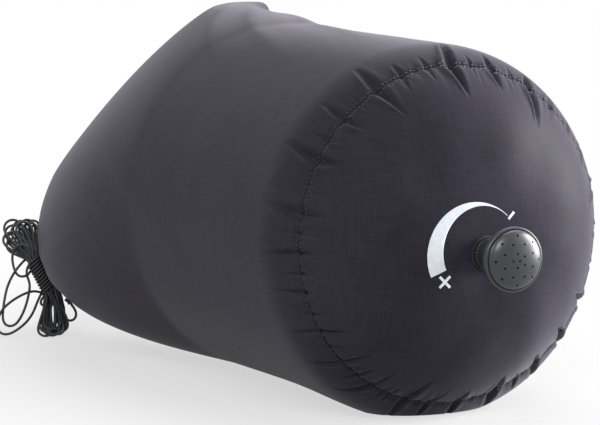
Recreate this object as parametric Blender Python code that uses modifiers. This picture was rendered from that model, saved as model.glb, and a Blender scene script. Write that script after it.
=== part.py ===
"""Camp shower bag: a roll-top bag with a shower rose in its base, lying filled on its side.

Metres, +Z up. The bag's axis runs along Y, the rose points to -Y, and the bag rests on z = 0.
The functions below build with the base seam in the plane y = 0 and the bag's axis at x = 0. Last of
all the whole model moves forward by REST_PLACE, so the origin lies in the middle of the resting flat.
"""
import math

import bmesh
import bpy
import numpy as np
from mathutils import Matrix, Vector

# Bag
BAG_RADIUS = 0.095
SHOULDER_INSET = 0.0092
SEAM_RADIUS = BAG_RADIUS - SHOULDER_INSET
SIDE_LENGTH = 0.422
ROUND_LENGTH = 0.176
SHOULDER_LENGTH = 0.030
FABRIC = 0.0008
REST_FLAT_DEPTH = 0.0015
BELLY_DROP = 0.004
BELLY_PLACE = 0.030
BELLY_LENGTH = 0.045
PANEL_HEIGHT = 0.036
PANEL_FLAT_RADIUS = 0.0145
SEAM_ALLOWANCE_WIDTH = 0.008
SEAM_ALLOWANCE_THICKNESS = 0.0012
SEAM_TAPE_WIDTH = 0.020
SEAM_TAPE_THICKNESS = 0.0005
SIDE_SEAM_PLACE = math.radians(298.0)
GAP = 0.0003
REST_PLACE = 0.100

# Flattened far end: the mouth lies along a line that leans from the vertical
MOUTH_LEAN = math.radians(48.0)
MOUTH_HALF_WIDTH = 0.0945
MOUTH_HALF_THICKNESS = 0.0053
UPPER_EAR_SWELL = -0.0028
LOWER_EAR_SWELL = 0.0238
MOUTH_SIDE_SHIFT = 0.045
MIDDLE_SIDE_SHIFT = 0.005
MOUTH_LIFT = 0.0237

SHARPNESS_GAIN_SHARE = 1.8
TAPER_POWER_SHARE = 1.52
DRIFT_POWER_SHARE = 3.1
LIFT_POWER_SHARE = 0.85
EASE_POWER_SHARE = 3.0
SLANT_POWER_SHARE = 6.0
DOME_POWER_SHARE = 2.2
DOME_ROUND_SHARE = 0.62

# Rolled closure
ROLL_DROOP = math.radians(28.0)
ROLL_WIDTH = 0.022
ROLL_TURNS = 2.5
ROLL_CORE = 0.0018
ROLL_PITCH = 0.0012
ROLL_LAYER = 0.0008
ROLL_BEND_RADIUS = 0.014
ROLL_SHARPNESS_SHARE = 2.2
EDGE_SHARE = 0.9
ARM_LENGTH = 0.024
STIFFENER_WIDTH = 0.012
STIFFENER_THICKNESS = 0.0012

# Buckle and its webbing
BUCKLE_WIDTH = 0.025
BUCKLE_THICKNESS = 0.0084
FEMALE_LENGTH = 0.026
FEMALE_SOCKET_DEPTH = 0.0185
FEMALE_PLATE = 0.0013
MALE_BASE_LENGTH = 0.0155
BUCKLE_SLOT_LENGTH = 0.0042
BUCKLE_BAR_LENGTH = 0.0024
BUCKLE_BAR_THICKNESS = 0.0024
BUCKLE_RAIL = 0.0022
BUCKLE_TWIST = math.radians(15.0)
RELEASE_ARM_LENGTH = 0.0165
RELEASE_ARM_WIDTH = 0.0024
RELEASE_ARM_THICKNESS = 0.0050
RELEASE_BUTTON_LENGTH = 0.008
RELEASE_BUTTON_STAND = 0.0010
BUTTON_LOW_SHARE = 0.2
BUTTON_HIGH_SHARE = 0.7
GUIDE_LENGTH = 0.014
GUIDE_WIDTH = 0.0030
WEBBING_WIDTH = 0.0195
WEBBING_THICKNESS = 0.0010
WEBBING_OVERLAP = 0.018

# Shower head, measured forward of the seam plane along its own axis
HEAD_DROP = 0.0050
BORE_RADIUS = 0.0042
SPOUT_RADIUS = 0.0056
SPOUT_FLANGE_RADIUS = 0.0125
SPOUT_FLANGE = 0.0018
SPOUT_TIP = 0.0550
INNER_GASKET = 0.0012
OUTER_GASKET = 0.0008
PATCH_THICKNESS = 0.0005
NUT_RADIUS = 0.0088
NUT_HEIGHT = 0.0030
O_RING_RADIUS = 0.00055
O_RING_PLACE = 0.0492
GROOVE_DEPTH = 0.0007
COLLAR_RADIUS = 0.0077
COLLAR_CLEARANCE = 0.0004
ROSE_RADIUS = 0.0162
ROSE_NECK_TOP = 0.0522
ROSE_RIM_PLACE = 0.0632
ROSE_RIM_HEIGHT = 0.0020
ROSE_WALL = 0.0013
ROSE_DOME = 0.0062
ROSE_FACE = 0.0012
ROSE_HOLE_RADIUS = 0.0005
SEAT_SHARE = 0.45
BOWL_POWER_SHARE = 0.9
HOLE_COUNTS = (1, 5, 8, 8)
HOLE_RING_SHARES = (0.0, 0.22, 0.53, 0.755)
HOLE_TURN_SHARES = (0.0, 0.5, 0.5, 0.0)
WASHER_THICKNESS = 0.0012
JUMPER_DISC = 0.0014
JUMPER_STEM_RADIUS = 0.0012
JUMPER_STEM_LENGTH = 0.0075
JUMPER_BUTTON_RADIUS = 0.0023
JUMPER_BUTTON = 0.0010
JUMPER_FIN = 0.0009
HUB_RADIUS = 0.0038
HUB_HEIGHT = 0.0016
SPIDER_ARM = 0.0016

# Printed flow scale round the head
PRINT_THICKNESS = 0.00015
PRINT_SIDE = -0.0010
PRINT_LIFT = 0.0012
SCALE_START = math.radians(48.0)
SCALE_END = math.radians(204.0)
SCALE_INNER_RADIUS = 0.0217
SCALE_INNER_GROWTH = 0.0013
SCALE_TAIL_WIDTH = 0.0003
SCALE_WIDTH = 0.0098
SCALE_POWER_SHARE = 1.6
SIGN_BAR = 0.0013
SIGN_LENGTH = 0.0058
MINUS_PLACE = math.radians(43.8)
MINUS_RADIUS = 0.0227
PLUS_PLACE = math.radians(215.6)
PLUS_RADIUS = 0.0261

# Hanging cord: its hank runs from foot to head past a wrapped waist
CORD_DIAMETER = 0.0015
HANK_FOOT = Vector((-0.0680, 0.3300, 0.0080))
HANK_WAIST = Vector((-0.0540, 0.3800, 0.0310))
HANK_HEAD = Vector((-0.0642, 0.3960, 0.0600))
HANK_WAIST_SHARE = 0.25
HANK_TURN = math.radians(40.0)
HANK_LOOPS = 12
HANK_LAYERS = 4
HANK_PITCH = 0.00232
HANK_END_PITCH = 0.00330
HANK_CORE = 0.0012
HANK_FLARE_SHARE = 0.45
HANK_ROUND_SHARE = 0.6
WRAP_TURNS = 4
WRAP_PITCH = 0.0027
WRAP_CLEARANCE = 0.0005
WRAP_SHARPNESS_SHARE = 1.6
WRAP_STRAIGHT_SHARE = 0.55
SPACING_SHARE = 2.5
KNOT_RADIUS = 0.0022
HITCH_CLEARANCE = 0.0004
HITCH_OPENING = math.radians(37.0)
LEAD_ROUTE = (
    (-0.0335, 0.4350, 0.0560), (-0.0430, 0.4240, 0.0535), (-0.0515, 0.4120, 0.0525), (-0.0580, 0.4012, 0.0518))
SLACK_ROUTE = (
    (-0.0695, 0.3885, 0.0420), (-0.0730, 0.3800, 0.0330), (-0.0800, 0.3700, 0.0240), (-0.0850, 0.3600, 0.0150),
    (-0.0890, 0.3520, 0.0075), (-0.0870, 0.3480, 0.0045), (-0.0820, 0.3500, 0.0075), (-0.0765, 0.3560, 0.0140),
    (-0.0710, 0.3600, 0.0215), (-0.0630, 0.3630, 0.0260))
TAIL_ROUTE = (
    (-0.0640, 0.3570, 0.0250), (-0.0745, 0.3550, 0.0220), (-0.0855, 0.3480, 0.0170), (-0.0925, 0.3400, 0.0115),
    (-0.0960, 0.3350, 0.0055), (-0.0940, 0.3310, 0.0018), (-0.0900, 0.3310, 0.0016), (-0.0850, 0.3330, 0.0040),
    (-0.0780, 0.3370, 0.0100), (-0.0665, 0.3400, 0.0185))

# Counts of flats and steps
AROUND = 48
ALONG = 14
NEAR_STEPS = 5
ROLL_STEPS = 9
BEND_STEPS = 7
PANEL_STEPS = 7
HEAD_FLATS = 28
SEAL_FLATS = 24
SMALL_FLATS = 16
KNOT_FLATS = 10
LOOP_POINTS = 24

# Derived places
AXIS_HEIGHT = BAG_RADIUS - REST_FLAT_DEPTH
HEAD_HEIGHT = AXIS_HEIGHT - HEAD_DROP
EAR_LINE = Vector((math.sin(MOUTH_LEAN), 0.0, math.cos(MOUTH_LEAN)))
THIN_LINE = Vector((-math.cos(MOUTH_LEAN), 0.0, math.sin(MOUTH_LEAN)))
BAG_LINE = Vector((0.0, 1.0, 0.0))
MOUTH_CENTRE = Vector((MOUTH_SIDE_SHIFT, SIDE_LENGTH, AXIS_HEIGHT + MOUTH_LIFT))
FOLD_LINE = math.cos(ROLL_DROOP) * BAG_LINE - math.sin(ROLL_DROOP) * THIN_LINE
WIDE_LINE = math.sin(ROLL_DROOP) * BAG_LINE + math.cos(ROLL_DROOP) * THIN_LINE
ROLL_HALF_THICKNESS = ROLL_CORE + ROLL_TURNS * ROLL_PITCH + ROLL_LAYER / 2
ROLL_UNDERSIDE = ROLL_CORE + (ROLL_TURNS - 0.75) * ROLL_PITCH + ROLL_LAYER / 2
ROLL_CENTRE = MOUTH_CENTRE + FOLD_LINE * (ROLL_UNDERSIDE + GAP)
ROLL_STRAIGHT = MOUTH_HALF_WIDTH - ROLL_BEND_RADIUS - ROLL_HALF_THICKNESS
BUCKLE_LEVEL = 2 * ROLL_BEND_RADIUS + ROLL_UNDERSIDE + GAP + WEBBING_THICKNESS
FULL_TURN = 2 * math.pi


def clear_scene():
    """Remove every object, so the part is alone."""
    for obj in list(bpy.data.objects):
        bpy.data.objects.remove(obj, do_unlink=True)
    for group in list(bpy.data.collections):
        bpy.data.collections.remove(group)


clear_scene()
PARTS = bpy.data.collections.new("camp_shower_bag")
CUTTERS = bpy.data.collections.new("cutters")
bpy.context.scene.collection.children.link(PARTS)
bpy.context.scene.collection.children.link(CUTTERS)


def material(name, colour, roughness, metallic=0.0):
    """A Principled material with one plain finish."""
    mat = bpy.data.materials.new(name)
    mat.use_nodes = True
    shader = mat.node_tree.nodes["Principled BSDF"]
    shader.inputs["Base Color"].default_value = (*colour, 1.0)
    shader.inputs["Roughness"].default_value = roughness
    shader.inputs["Metallic"].default_value = metallic
    return mat


SIDE_FABRIC = material("coated_nylon", (0.055, 0.052, 0.066), 0.42)
TAPE_FILM = material("tape_film", (0.16, 0.16, 0.17), 0.55)
PRINT_INK = material("print_ink", (0.58, 0.63, 0.68), 0.5)
HEAD_PLASTIC = material("head_plastic", (0.035, 0.04, 0.045), 0.3)
VALVE_PLASTIC = material("valve_plastic", (0.6, 0.6, 0.58), 0.4)
SEAL_RUBBER = material("seal_rubber", (0.02, 0.02, 0.022), 0.7)
WEBBING = material("webbing", (0.012, 0.013, 0.015), 0.8)
BUCKLE_PLASTIC = material("buckle_plastic", (0.015, 0.016, 0.018), 0.22)
CORD_YARN = material("cord_yarn", (0.006, 0.008, 0.01), 0.6)


def link(obj, mat, smooth_angle=None):
    """Put a finished object among the parts, with its material."""
    PARTS.objects.link(obj)
    obj.data.materials.append(mat)
    if smooth_angle is not None:
        obj.data.shade_smooth()
        obj.data.set_sharp_from_angle(angle=smooth_angle)
    return obj


def mesh_object(name, points, faces):
    """A mesh object from points and faces, linked to nothing yet."""
    mesh = bpy.data.meshes.new(name)
    mesh.from_pydata([tuple(p) for p in points], [], faces)
    mesh.update()
    return bpy.data.objects.new(name, mesh)


def grid_faces(rows, columns, closed):
    """Faces of a grid of rows by columns, closed round its columns or not."""
    faces = []
    last = columns if closed else columns - 1
    for i in range(rows - 1):
        for j in range(last):
            k = (j + 1) % columns
            faces.append((i * columns + j, (i + 1) * columns + j, (i + 1) * columns + k, i * columns + k))
    return faces


def solidify(obj, thickness, offset=-1.0):
    """Give an open surface its wall."""
    wall = obj.modifiers.new("wall", "SOLIDIFY")
    wall.thickness = thickness
    wall.offset = offset
    wall.use_even_offset = True
    return obj


def clamp_turn(angle, sharpness):
    """The share of the straight run reached at an angle round a flattened section."""
    return np.sin(np.pi / 2 * np.clip(sharpness * np.cos(angle), -1.0, 1.0))


def wall_point(along, angle, inset=0.0):
    """A point of the side wall's outer face, or inset under it.

    The section is a circle that flattens to a slot: half-thickness falls as one minus a power of
    the taper's share, while its middle drifts to the mouth's centre.
    """
    along = np.asarray(along, dtype=float)
    taper = np.clip((along - ROUND_LENGTH) / (SIDE_LENGTH - ROUND_LENGTH), 0.0, 1.0)
    near = 1.0 - np.clip(along / SHOULDER_LENGTH, 0.0, 1.0)
    round_radius = SEAM_RADIUS + (BAG_RADIUS - SEAM_RADIUS) * np.sqrt(1.0 - near ** 2)
    thick = MOUTH_HALF_THICKNESS + (round_radius - MOUTH_HALF_THICKNESS) * (1.0 - taper ** TAPER_POWER_SHARE)
    ease = 1.0 - (1.0 - taper) ** EASE_POWER_SHARE
    turn = np.cos(angle)
    swell = np.where(turn > 0.0, UPPER_EAR_SWELL, LOWER_EAR_SWELL) * turn ** 2 * np.sin(np.pi * taper)
    wide = round_radius + (MOUTH_HALF_WIDTH - round_radius) * ease + swell
    thick = thick - inset
    wide = wide - inset
    sharpness = 1.0 + SHARPNESS_GAIN_SHARE * taper
    run = (wide - thick) * clamp_turn(angle, sharpness) + thick * np.cos(angle)
    depth = thick * np.sin(angle)
    drift = MOUTH_SIDE_SHIFT * taper ** DRIFT_POWER_SHARE + MIDDLE_SIDE_SHIFT * np.sin(np.pi * taper)
    lift = MOUTH_LIFT * taper ** LIFT_POWER_SHARE
    x = drift + EAR_LINE.x * run + THIN_LINE.x * depth
    z = AXIS_HEIGHT + lift + EAR_LINE.z * run + THIN_LINE.z * depth
    low = np.clip((AXIS_HEIGHT - z) / BAG_RADIUS, 0.0, 1.0)
    near_belly = np.exp(-((along - BELLY_PLACE) / BELLY_LENGTH) ** 2) * (1.0 - near)
    z = z - BELLY_DROP * near_belly * low ** 3
    y = along + math.tan(ROLL_DROOP) * depth * taper ** SLANT_POWER_SHARE
    z = np.maximum(z, inset)
    return np.stack([x, y + 0.0 * x, z], axis=-1)


def side_wall():
    """The fabric tube, open at the seam and at the slot of its mouth."""
    angles = np.arange(AROUND) * FULL_TURN / AROUND
    share = np.linspace(0.0, 1.0, ALONG)
    near_rows = SHOULDER_LENGTH * (1.0 - np.cos(np.linspace(0.0, 1.0, NEAR_STEPS) * np.pi / 2))
    far_rows = SHOULDER_LENGTH + (SIDE_LENGTH - SHOULDER_LENGTH) * share[1:]
    rows = np.concatenate([near_rows, far_rows])
    rows[0] = GAP / 2
    points = [wall_point(np.full(AROUND, row), angles) for row in rows]
    faces = grid_faces(len(rows), AROUND, True)
    obj = mesh_object("side_wall", np.concatenate(points), faces)
    solidify(obj, FABRIC)
    return link(obj, SIDE_FABRIC, math.radians(40))


def panel_height(radius):
    """How far the panel stands forward of the seam at a distance from its middle."""
    share = np.clip((radius - PANEL_FLAT_RADIUS) / (SEAM_RADIUS - PANEL_FLAT_RADIUS), 0.0, 1.0)
    return PANEL_HEIGHT * (1.0 - share ** DOME_POWER_SHARE) ** DOME_ROUND_SHARE


def panel_point(radius, angle, stand=0.0):
    """A point of the base panel's outer face, or one that stands proud of it."""
    share = np.clip((radius - PANEL_FLAT_RADIUS) / (SEAM_RADIUS - PANEL_FLAT_RADIUS), 0.0, 1.0)
    centre = HEAD_HEIGHT + HEAD_DROP * share ** 2
    x = radius * np.cos(angle)
    z = centre + radius * np.sin(angle)
    y = -(panel_height(radius) + stand + GAP / 2)
    return np.stack([x, y + 0.0 * x, z + 0.0 * x], axis=-1)


def base_panel():
    """The domed disc of fabric that carries the head, with its hole."""
    angles = np.arange(AROUND) * FULL_TURN / AROUND
    hole = SPOUT_RADIUS + GAP
    turn = np.linspace(0.0, 1.0, PANEL_STEPS)
    radii = PANEL_FLAT_RADIUS + (SEAM_RADIUS - PANEL_FLAT_RADIUS) * np.sin(turn * np.pi / 2)
    radii = np.concatenate([[hole], radii])
    points = [panel_point(np.full(AROUND, r), angles) for r in radii]
    obj = mesh_object("base_panel", np.concatenate(points), grid_faces(len(radii), AROUND, True))
    solidify(obj, FABRIC)
    return link(obj, SIDE_FABRIC, math.radians(40))


def turned(name, profile, mat, flats=HEAD_FLATS, centre=None, closed=True):
    """A turned piece: a profile of (radius, distance forward) spun about a line along Y."""
    mesh = bpy.data.meshes.new(name)
    edges = [(i, i + 1) for i in range(len(profile) - 1)]
    if closed:
        edges.append((len(profile) - 1, 0))
    mesh.from_pydata([(r, 0.0, h) for r, h in profile], edges, [])
    obj = bpy.data.objects.new(name, mesh)
    obj.location = centre if centre is not None else (0.0, 0.0, HEAD_HEIGHT)
    obj.rotation_euler = (math.pi / 2, 0.0, 0.0)
    spin = obj.modifiers.new("spin", "SCREW")
    spin.axis = "Z"
    spin.steps = flats
    spin.render_steps = flats
    spin.use_merge_vertices = True
    spin.merge_threshold = 0.00005
    if mat is not None:
        link(obj, mat)
        spin.use_smooth_shade = False
    return obj


def ring(name, inner, outer, low, high, mat, flats=HEAD_FLATS, centre=None):
    """A flat ring between two radii and two distances forward."""
    profile = [(outer, high), (outer, low), (inner, low), (inner, high)]
    return turned(name, profile, mat, flats, centre)


def cutter(obj):
    """Mark an object as a tool that only cuts."""
    if obj.name in PARTS.objects:
        PARTS.objects.unlink(obj)
    if obj.name not in CUTTERS.objects:
        CUTTERS.objects.link(obj)
    obj.hide_render = True
    obj.display_type = "WIRE"
    return obj


def boolean(obj, tool, operation):
    """Cut or join with another object."""
    step = obj.modifiers.new(operation.lower(), "BOOLEAN")
    step.operation = operation
    step.solver = "EXACT"
    step.object = tool
    return obj


def box_mesh(name, low, high):
    """A box object between two corners, in its own frame."""
    mesh = bpy.data.meshes.new(name)
    shape = bmesh.new()
    bmesh.ops.create_cube(shape, size=1.0)
    low = Vector(low)
    high = Vector(high)
    bmesh.ops.scale(shape, vec=high - low, verts=shape.verts)
    bmesh.ops.translate(shape, vec=(low + high) / 2, verts=shape.verts)
    shape.to_mesh(mesh)
    shape.free()
    return bpy.data.objects.new(name, mesh)


def base_seam_allowance():
    """The two raw edges turned inside along the base seam, as one flat ring."""
    outer = SEAM_RADIUS - FABRIC - GAP
    centre = (0.0, 0.0, AXIS_HEIGHT)
    half = SEAM_ALLOWANCE_THICKNESS / 2
    return ring("base_seam_allowance", outer - SEAM_ALLOWANCE_WIDTH, outer, -half, half,
                TAPE_FILM, AROUND, centre)


def flat_point(row, angle):
    """A point just under one of the wall's flats, between the corners that bound it."""
    step = FULL_TURN / AROUND
    corner = math.floor(angle / step)
    share = angle / step - corner
    pair = wall_point(np.full(2, row), np.array([corner, corner + 1]) * step, FABRIC + GAP)
    return pair[0] * (1.0 - share) + pair[1] * share


def side_seam_tape():
    """A welded tape inside the wall, over its lengthwise seam."""
    half_turn = SEAM_TAPE_WIDTH / BAG_RADIUS / 2
    step = FULL_TURN / AROUND
    first = math.floor((SIDE_SEAM_PLACE - half_turn) / step) + 1
    last = math.ceil((SIDE_SEAM_PLACE + half_turn) / step)
    corners = [k * step for k in range(first, last)]
    angles = [SIDE_SEAM_PLACE - half_turn] + corners + [SIDE_SEAM_PLACE + half_turn]
    rows = np.linspace(SHOULDER_LENGTH, ROUND_LENGTH - SHOULDER_LENGTH, 3)
    points = [[flat_point(row, angle) for angle in angles] for row in rows]
    obj = mesh_object("side_seam_tape", np.concatenate(points), grid_faces(len(rows), len(angles), False))
    solidify(obj, SEAM_TAPE_THICKNESS)
    return link(obj, TAPE_FILM)


def print_patch(name, radius, angle, faces=None):
    """A patch of ink just off the panel, over a grid of distances and turns about the print's middle."""
    x = PRINT_SIDE + radius * np.cos(angle)
    z = PRINT_LIFT + radius * np.sin(angle)
    grid = panel_point(np.hypot(x, z), np.arctan2(z, x), GAP)
    rows, columns = radius.shape
    obj = mesh_object(name, grid.reshape(-1, 3), faces or grid_faces(rows, columns, False))
    solidify(obj, PRINT_THICKNESS, 1.0)
    return link(obj, PRINT_INK)


def flow_crescent():
    """The printed crescent: a band round the head that widens from its tail to its end."""
    share = np.linspace(0.0, 1.0, 20)
    angle = SCALE_START + (SCALE_END - SCALE_START) * share
    inner = SCALE_INNER_RADIUS + SCALE_INNER_GROWTH * share
    width = SCALE_TAIL_WIDTH + (SCALE_WIDTH - SCALE_TAIL_WIDTH) * np.sin(share * np.pi / 2) ** SCALE_POWER_SHARE
    across = np.linspace(0.0, 1.0, 4)
    radius = inner[None, :] + across[:, None] * width[None, :]
    return print_patch("flow_crescent", radius, np.broadcast_to(angle, radius.shape))


def sign_grid(place, middle, along, across):
    """Distances and turns of a small grid laid square to the radius at a place round the head."""
    u, v = np.meshgrid(middle + np.asarray(along), np.asarray(across), indexing="ij")
    return np.hypot(u, v).T, (place + np.arctan2(v, u)).T


def flow_signs():
    """The less and more signs at the crescent's two ends."""
    bar = SIGN_BAR / 2
    arm = SIGN_LENGTH / 2
    radius, angle = sign_grid(MINUS_PLACE, MINUS_RADIUS, (-arm, 0.0, arm), (-bar, 0.0, bar))
    print_patch("flow_less_sign", radius, angle)
    radius, angle = sign_grid(PLUS_PLACE, PLUS_RADIUS, (-arm, -bar, bar, arm), (-arm, -bar, bar, arm))
    corners = (0, 2, 6, 8)
    cells = [face for i, face in enumerate(grid_faces(4, 4, False)) if i not in corners]
    print_patch("flow_more_sign", radius, angle, cells)


PANEL_OUTER = PANEL_HEIGHT + GAP / 2
PANEL_INNER = PANEL_OUTER - FABRIC
PATCH_LOW = PANEL_INNER - GAP - PATCH_THICKNESS
GASKET_LOW = PATCH_LOW - GAP - INNER_GASKET
FLANGE_HIGH = GASKET_LOW - GAP
FLANGE_LOW = FLANGE_HIGH - SPOUT_FLANGE
OUTER_GASKET_LOW = PANEL_OUTER + GAP
NUT_LOW = OUTER_GASKET_LOW + OUTER_GASKET + GAP
COLLAR_LOW = NUT_LOW + NUT_HEIGHT + GAP
COLLAR_BORE = SPOUT_RADIUS + COLLAR_CLEARANCE
WASHER_LOW = SPOUT_TIP + GAP
DISC_LOW = WASHER_LOW + WASHER_THICKNESS + GAP
HUB_LOW = DISC_LOW + JUMPER_DISC + GAP
BUTTON_LOW = HUB_LOW + HUB_HEIGHT + GAP


def panel_fittings():
    """What clamps the spout in the panel: patch, gaskets and nut."""
    bore = SPOUT_RADIUS + GAP
    patch_high = PATCH_LOW + PATCH_THICKNESS
    ring("base_patch", bore, PANEL_FLAT_RADIUS - GAP, PATCH_LOW, patch_high, TAPE_FILM, SEAL_FLATS)
    inner_high = GASKET_LOW + INNER_GASKET
    outer_high = OUTER_GASKET_LOW + OUTER_GASKET
    ring("inner_gasket", bore, SPOUT_FLANGE_RADIUS, GASKET_LOW, inner_high, SEAL_RUBBER, SEAL_FLATS)
    ring("outer_gasket", bore, NUT_RADIUS, OUTER_GASKET_LOW, outer_high, SEAL_RUBBER, SEAL_FLATS)
    chamfer = NUT_HEIGHT / 5
    nut_high = NUT_LOW + NUT_HEIGHT
    profile = [(NUT_RADIUS - chamfer, nut_high), (NUT_RADIUS, nut_high - chamfer), (NUT_RADIUS, NUT_LOW),
               (bore, NUT_LOW), (bore, nut_high)]
    turned("retaining_nut", profile, HEAD_PLASTIC, SEAL_FLATS)


def spout():
    """The flanged tube through the panel, with a groove for its ring."""
    groove = SPOUT_RADIUS - GROOVE_DEPTH
    half = O_RING_RADIUS + GAP / 2
    profile = [
        (SPOUT_RADIUS, SPOUT_TIP), (SPOUT_RADIUS, O_RING_PLACE + half), (groove, O_RING_PLACE + half),
        (groove, O_RING_PLACE - half), (SPOUT_RADIUS, O_RING_PLACE - half), (SPOUT_RADIUS, FLANGE_HIGH),
        (SPOUT_FLANGE_RADIUS, FLANGE_HIGH), (SPOUT_FLANGE_RADIUS, FLANGE_LOW), (BORE_RADIUS, FLANGE_LOW),
        (BORE_RADIUS, SPOUT_TIP)]
    return turned("spout", profile, VALVE_PLASTIC, SEAL_FLATS)


def spout_o_ring():
    """The ring between spout and collar."""
    middle = SPOUT_RADIUS - GROOVE_DEPTH + GAP / 3 + O_RING_RADIUS
    turn = -np.arange(8) * FULL_TURN / 8
    profile = [(middle + O_RING_RADIUS * math.cos(a), O_RING_PLACE + O_RING_RADIUS * math.sin(a)) for a in turn]
    return turned("spout_o_ring", profile, SEAL_RUBBER, SEAL_FLATS)


def valve_pieces():
    """The jumper that lifts off the spout's tip, and the washer under it."""
    washer = ring("valve_washer", JUMPER_STEM_RADIUS + GAP, SPOUT_RADIUS, WASHER_LOW,
                  WASHER_LOW + WASHER_THICKNESS, SEAL_RUBBER, SEAL_FLATS)
    disc_high = DISC_LOW + JUMPER_DISC
    stem_low = SPOUT_TIP - JUMPER_STEM_LENGTH
    button_high = BUTTON_LOW + JUMPER_BUTTON
    profile = [
        (0.0, button_high), (JUMPER_BUTTON_RADIUS, button_high), (JUMPER_BUTTON_RADIUS, BUTTON_LOW),
        (JUMPER_STEM_RADIUS, BUTTON_LOW), (JUMPER_STEM_RADIUS, disc_high), (SPOUT_RADIUS, disc_high),
        (SPOUT_RADIUS, DISC_LOW), (JUMPER_STEM_RADIUS, DISC_LOW), (JUMPER_STEM_RADIUS, stem_low), (0.0, stem_low)]
    jumper = turned("valve_jumper", profile, VALVE_PLASTIC, SMALL_FLATS, closed=False)
    reach = BORE_RADIUS - GAP * 1.5
    fin_high = SPOUT_TIP - WASHER_THICKNESS
    for k in range(3):
        fin = box_mesh(f"jumper_fin_{k}", (0.0, -JUMPER_FIN / 2, stem_low + JUMPER_FIN),
                       (reach, JUMPER_FIN / 2, fin_high))
        fin.location = (0.0, 0.0, HEAD_HEIGHT)
        fin.rotation_euler = (math.pi / 2, k * FULL_TURN / 3, 0.0)
        boolean(jumper, cutter(fin), "UNION")
    return washer, jumper


def bowl_radius(height):
    """The rose shell's outer radius between its neck and its rim."""
    share = (height - ROSE_NECK_TOP) / (ROSE_RIM_PLACE - ROSE_RIM_HEIGHT - ROSE_NECK_TOP)
    share = min(max(share, 0.0), 1.0)
    return COLLAR_RADIUS + (ROSE_RADIUS - COLLAR_RADIUS) * math.sin(share * math.pi / 2) ** BOWL_POWER_SHARE


def rose_shell():
    """The back of the rose: collar on the spout, and a bowl that flares to a thin rim."""
    steps = 6
    bowl_low = ROSE_NECK_TOP
    bowl_high = ROSE_RIM_PLACE - ROSE_RIM_HEIGHT
    heights = [bowl_low + (bowl_high - bowl_low) * k / steps for k in range(steps + 1)]
    outer = [(bowl_radius(h), h) for h in heights]
    inner = [(max(r - ROSE_WALL, COLLAR_BORE), h + ROSE_WALL) for r, h in outer]
    rim_inner = ROSE_RADIUS - ROSE_WALL
    profile = [(ROSE_RADIUS, ROSE_RIM_PLACE)]
    profile += outer[::-1]
    profile += [(COLLAR_RADIUS, COLLAR_LOW), (COLLAR_BORE, COLLAR_LOW)]
    profile += [(r, h) for r, h in inner if r > COLLAR_BORE or h < bowl_low + ROSE_WALL + GAP]
    profile += [(rim_inner, ROSE_RIM_PLACE)]
    return turned("rose_shell", profile, HEAD_PLASTIC)


def rose_face():
    """The domed face of the rose, with its rings of holes."""
    rim = ROSE_RADIUS - ROSE_WALL - GAP
    steps = 7
    seat = ROSE_RIM_PLACE - ROSE_RIM_HEIGHT * SEAT_SHARE
    under_rim = rim - ROSE_FACE
    turns = [k / steps * math.pi / 2 for k in range(steps + 1)]
    outer = [(rim * math.sin(t), seat + ROSE_DOME * math.cos(t)) for t in turns]
    under = [(under_rim * math.sin(t), seat + (ROSE_DOME - ROSE_FACE) * math.cos(t)) for t in turns[::-1]]
    foot = seat - ROSE_RIM_HEIGHT * SEAT_SHARE
    profile = outer + [(rim, foot), (under_rim, foot)] + under
    obj = turned("rose_face", profile, HEAD_PLASTIC, closed=False)
    return boolean(obj, hole_tool(), "DIFFERENCE")


def hole_tool():
    """All the rose's holes as one cutter of small six-sided pins."""
    shape = bmesh.new()
    length = ROSE_DOME * 3
    for count, ring_share, turn_share in zip(HOLE_COUNTS, HOLE_RING_SHARES, HOLE_TURN_SHARES):
        for k in range(count):
            angle = (k + turn_share) * FULL_TURN / count
            place = Vector((math.cos(angle), math.sin(angle), 0.0)) * (ROSE_RADIUS * ring_share)
            place.z = ROSE_RIM_PLACE + ROSE_DOME
            bmesh.ops.create_cone(shape, cap_ends=True, segments=6, radius1=ROSE_HOLE_RADIUS,
                                  radius2=ROSE_HOLE_RADIUS, depth=length, matrix=Matrix.Translation(place))
    mesh = bpy.data.meshes.new("hole_pins")
    shape.to_mesh(mesh)
    shape.free()
    tool = bpy.data.objects.new("hole_pins", mesh)
    tool.location = (0.0, 0.0, HEAD_HEIGHT)
    tool.rotation_euler = (math.pi / 2, 0.0, 0.0)
    return cutter(tool)


def rose_spider():
    """The three-armed hub inside the bowl that draws the jumper forward."""
    hub_high = HUB_LOW + HUB_HEIGHT
    seat = bowl_radius(HUB_LOW - ROSE_WALL) - ROSE_WALL - GAP
    obj = ring("rose_spider", JUMPER_STEM_RADIUS + GAP, HUB_RADIUS, HUB_LOW, hub_high, VALVE_PLASTIC,
               SEAL_FLATS)
    for k in range(3):
        arm = box_mesh(f"spider_arm_{k}", (HUB_RADIUS - SPIDER_ARM / 2, -SPIDER_ARM / 2, HUB_LOW),
                       (seat, SPIDER_ARM / 2, hub_high))
        arm.location = (0.0, 0.0, HEAD_HEIGHT)
        arm.rotation_euler = (math.pi / 2, (k + 0.5) * FULL_TURN / 3, 0.0)
        boolean(obj, cutter(arm), "UNION")
    return obj


def roll_path():
    """The closure's middle line as (along the ears, along the fold, heading) stations."""
    stations = []
    left = -ROLL_STRAIGHT
    top = 2 * ROLL_BEND_RADIUS
    stations.append((left + ARM_LENGTH, top, math.pi))
    stations.append((left, top, math.pi))
    for k in range(1, BEND_STEPS):
        turn = math.pi + math.pi * k / BEND_STEPS
        stations.append((left + ROLL_BEND_RADIUS * math.sin(turn), ROLL_BEND_RADIUS * (1 - math.cos(turn)), turn))
    stations.append((left, 0.0, 0.0))
    mirrored = [(-e, f, -h) for e, f, h in stations[::-1]]
    return stations, mirrored


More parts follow.
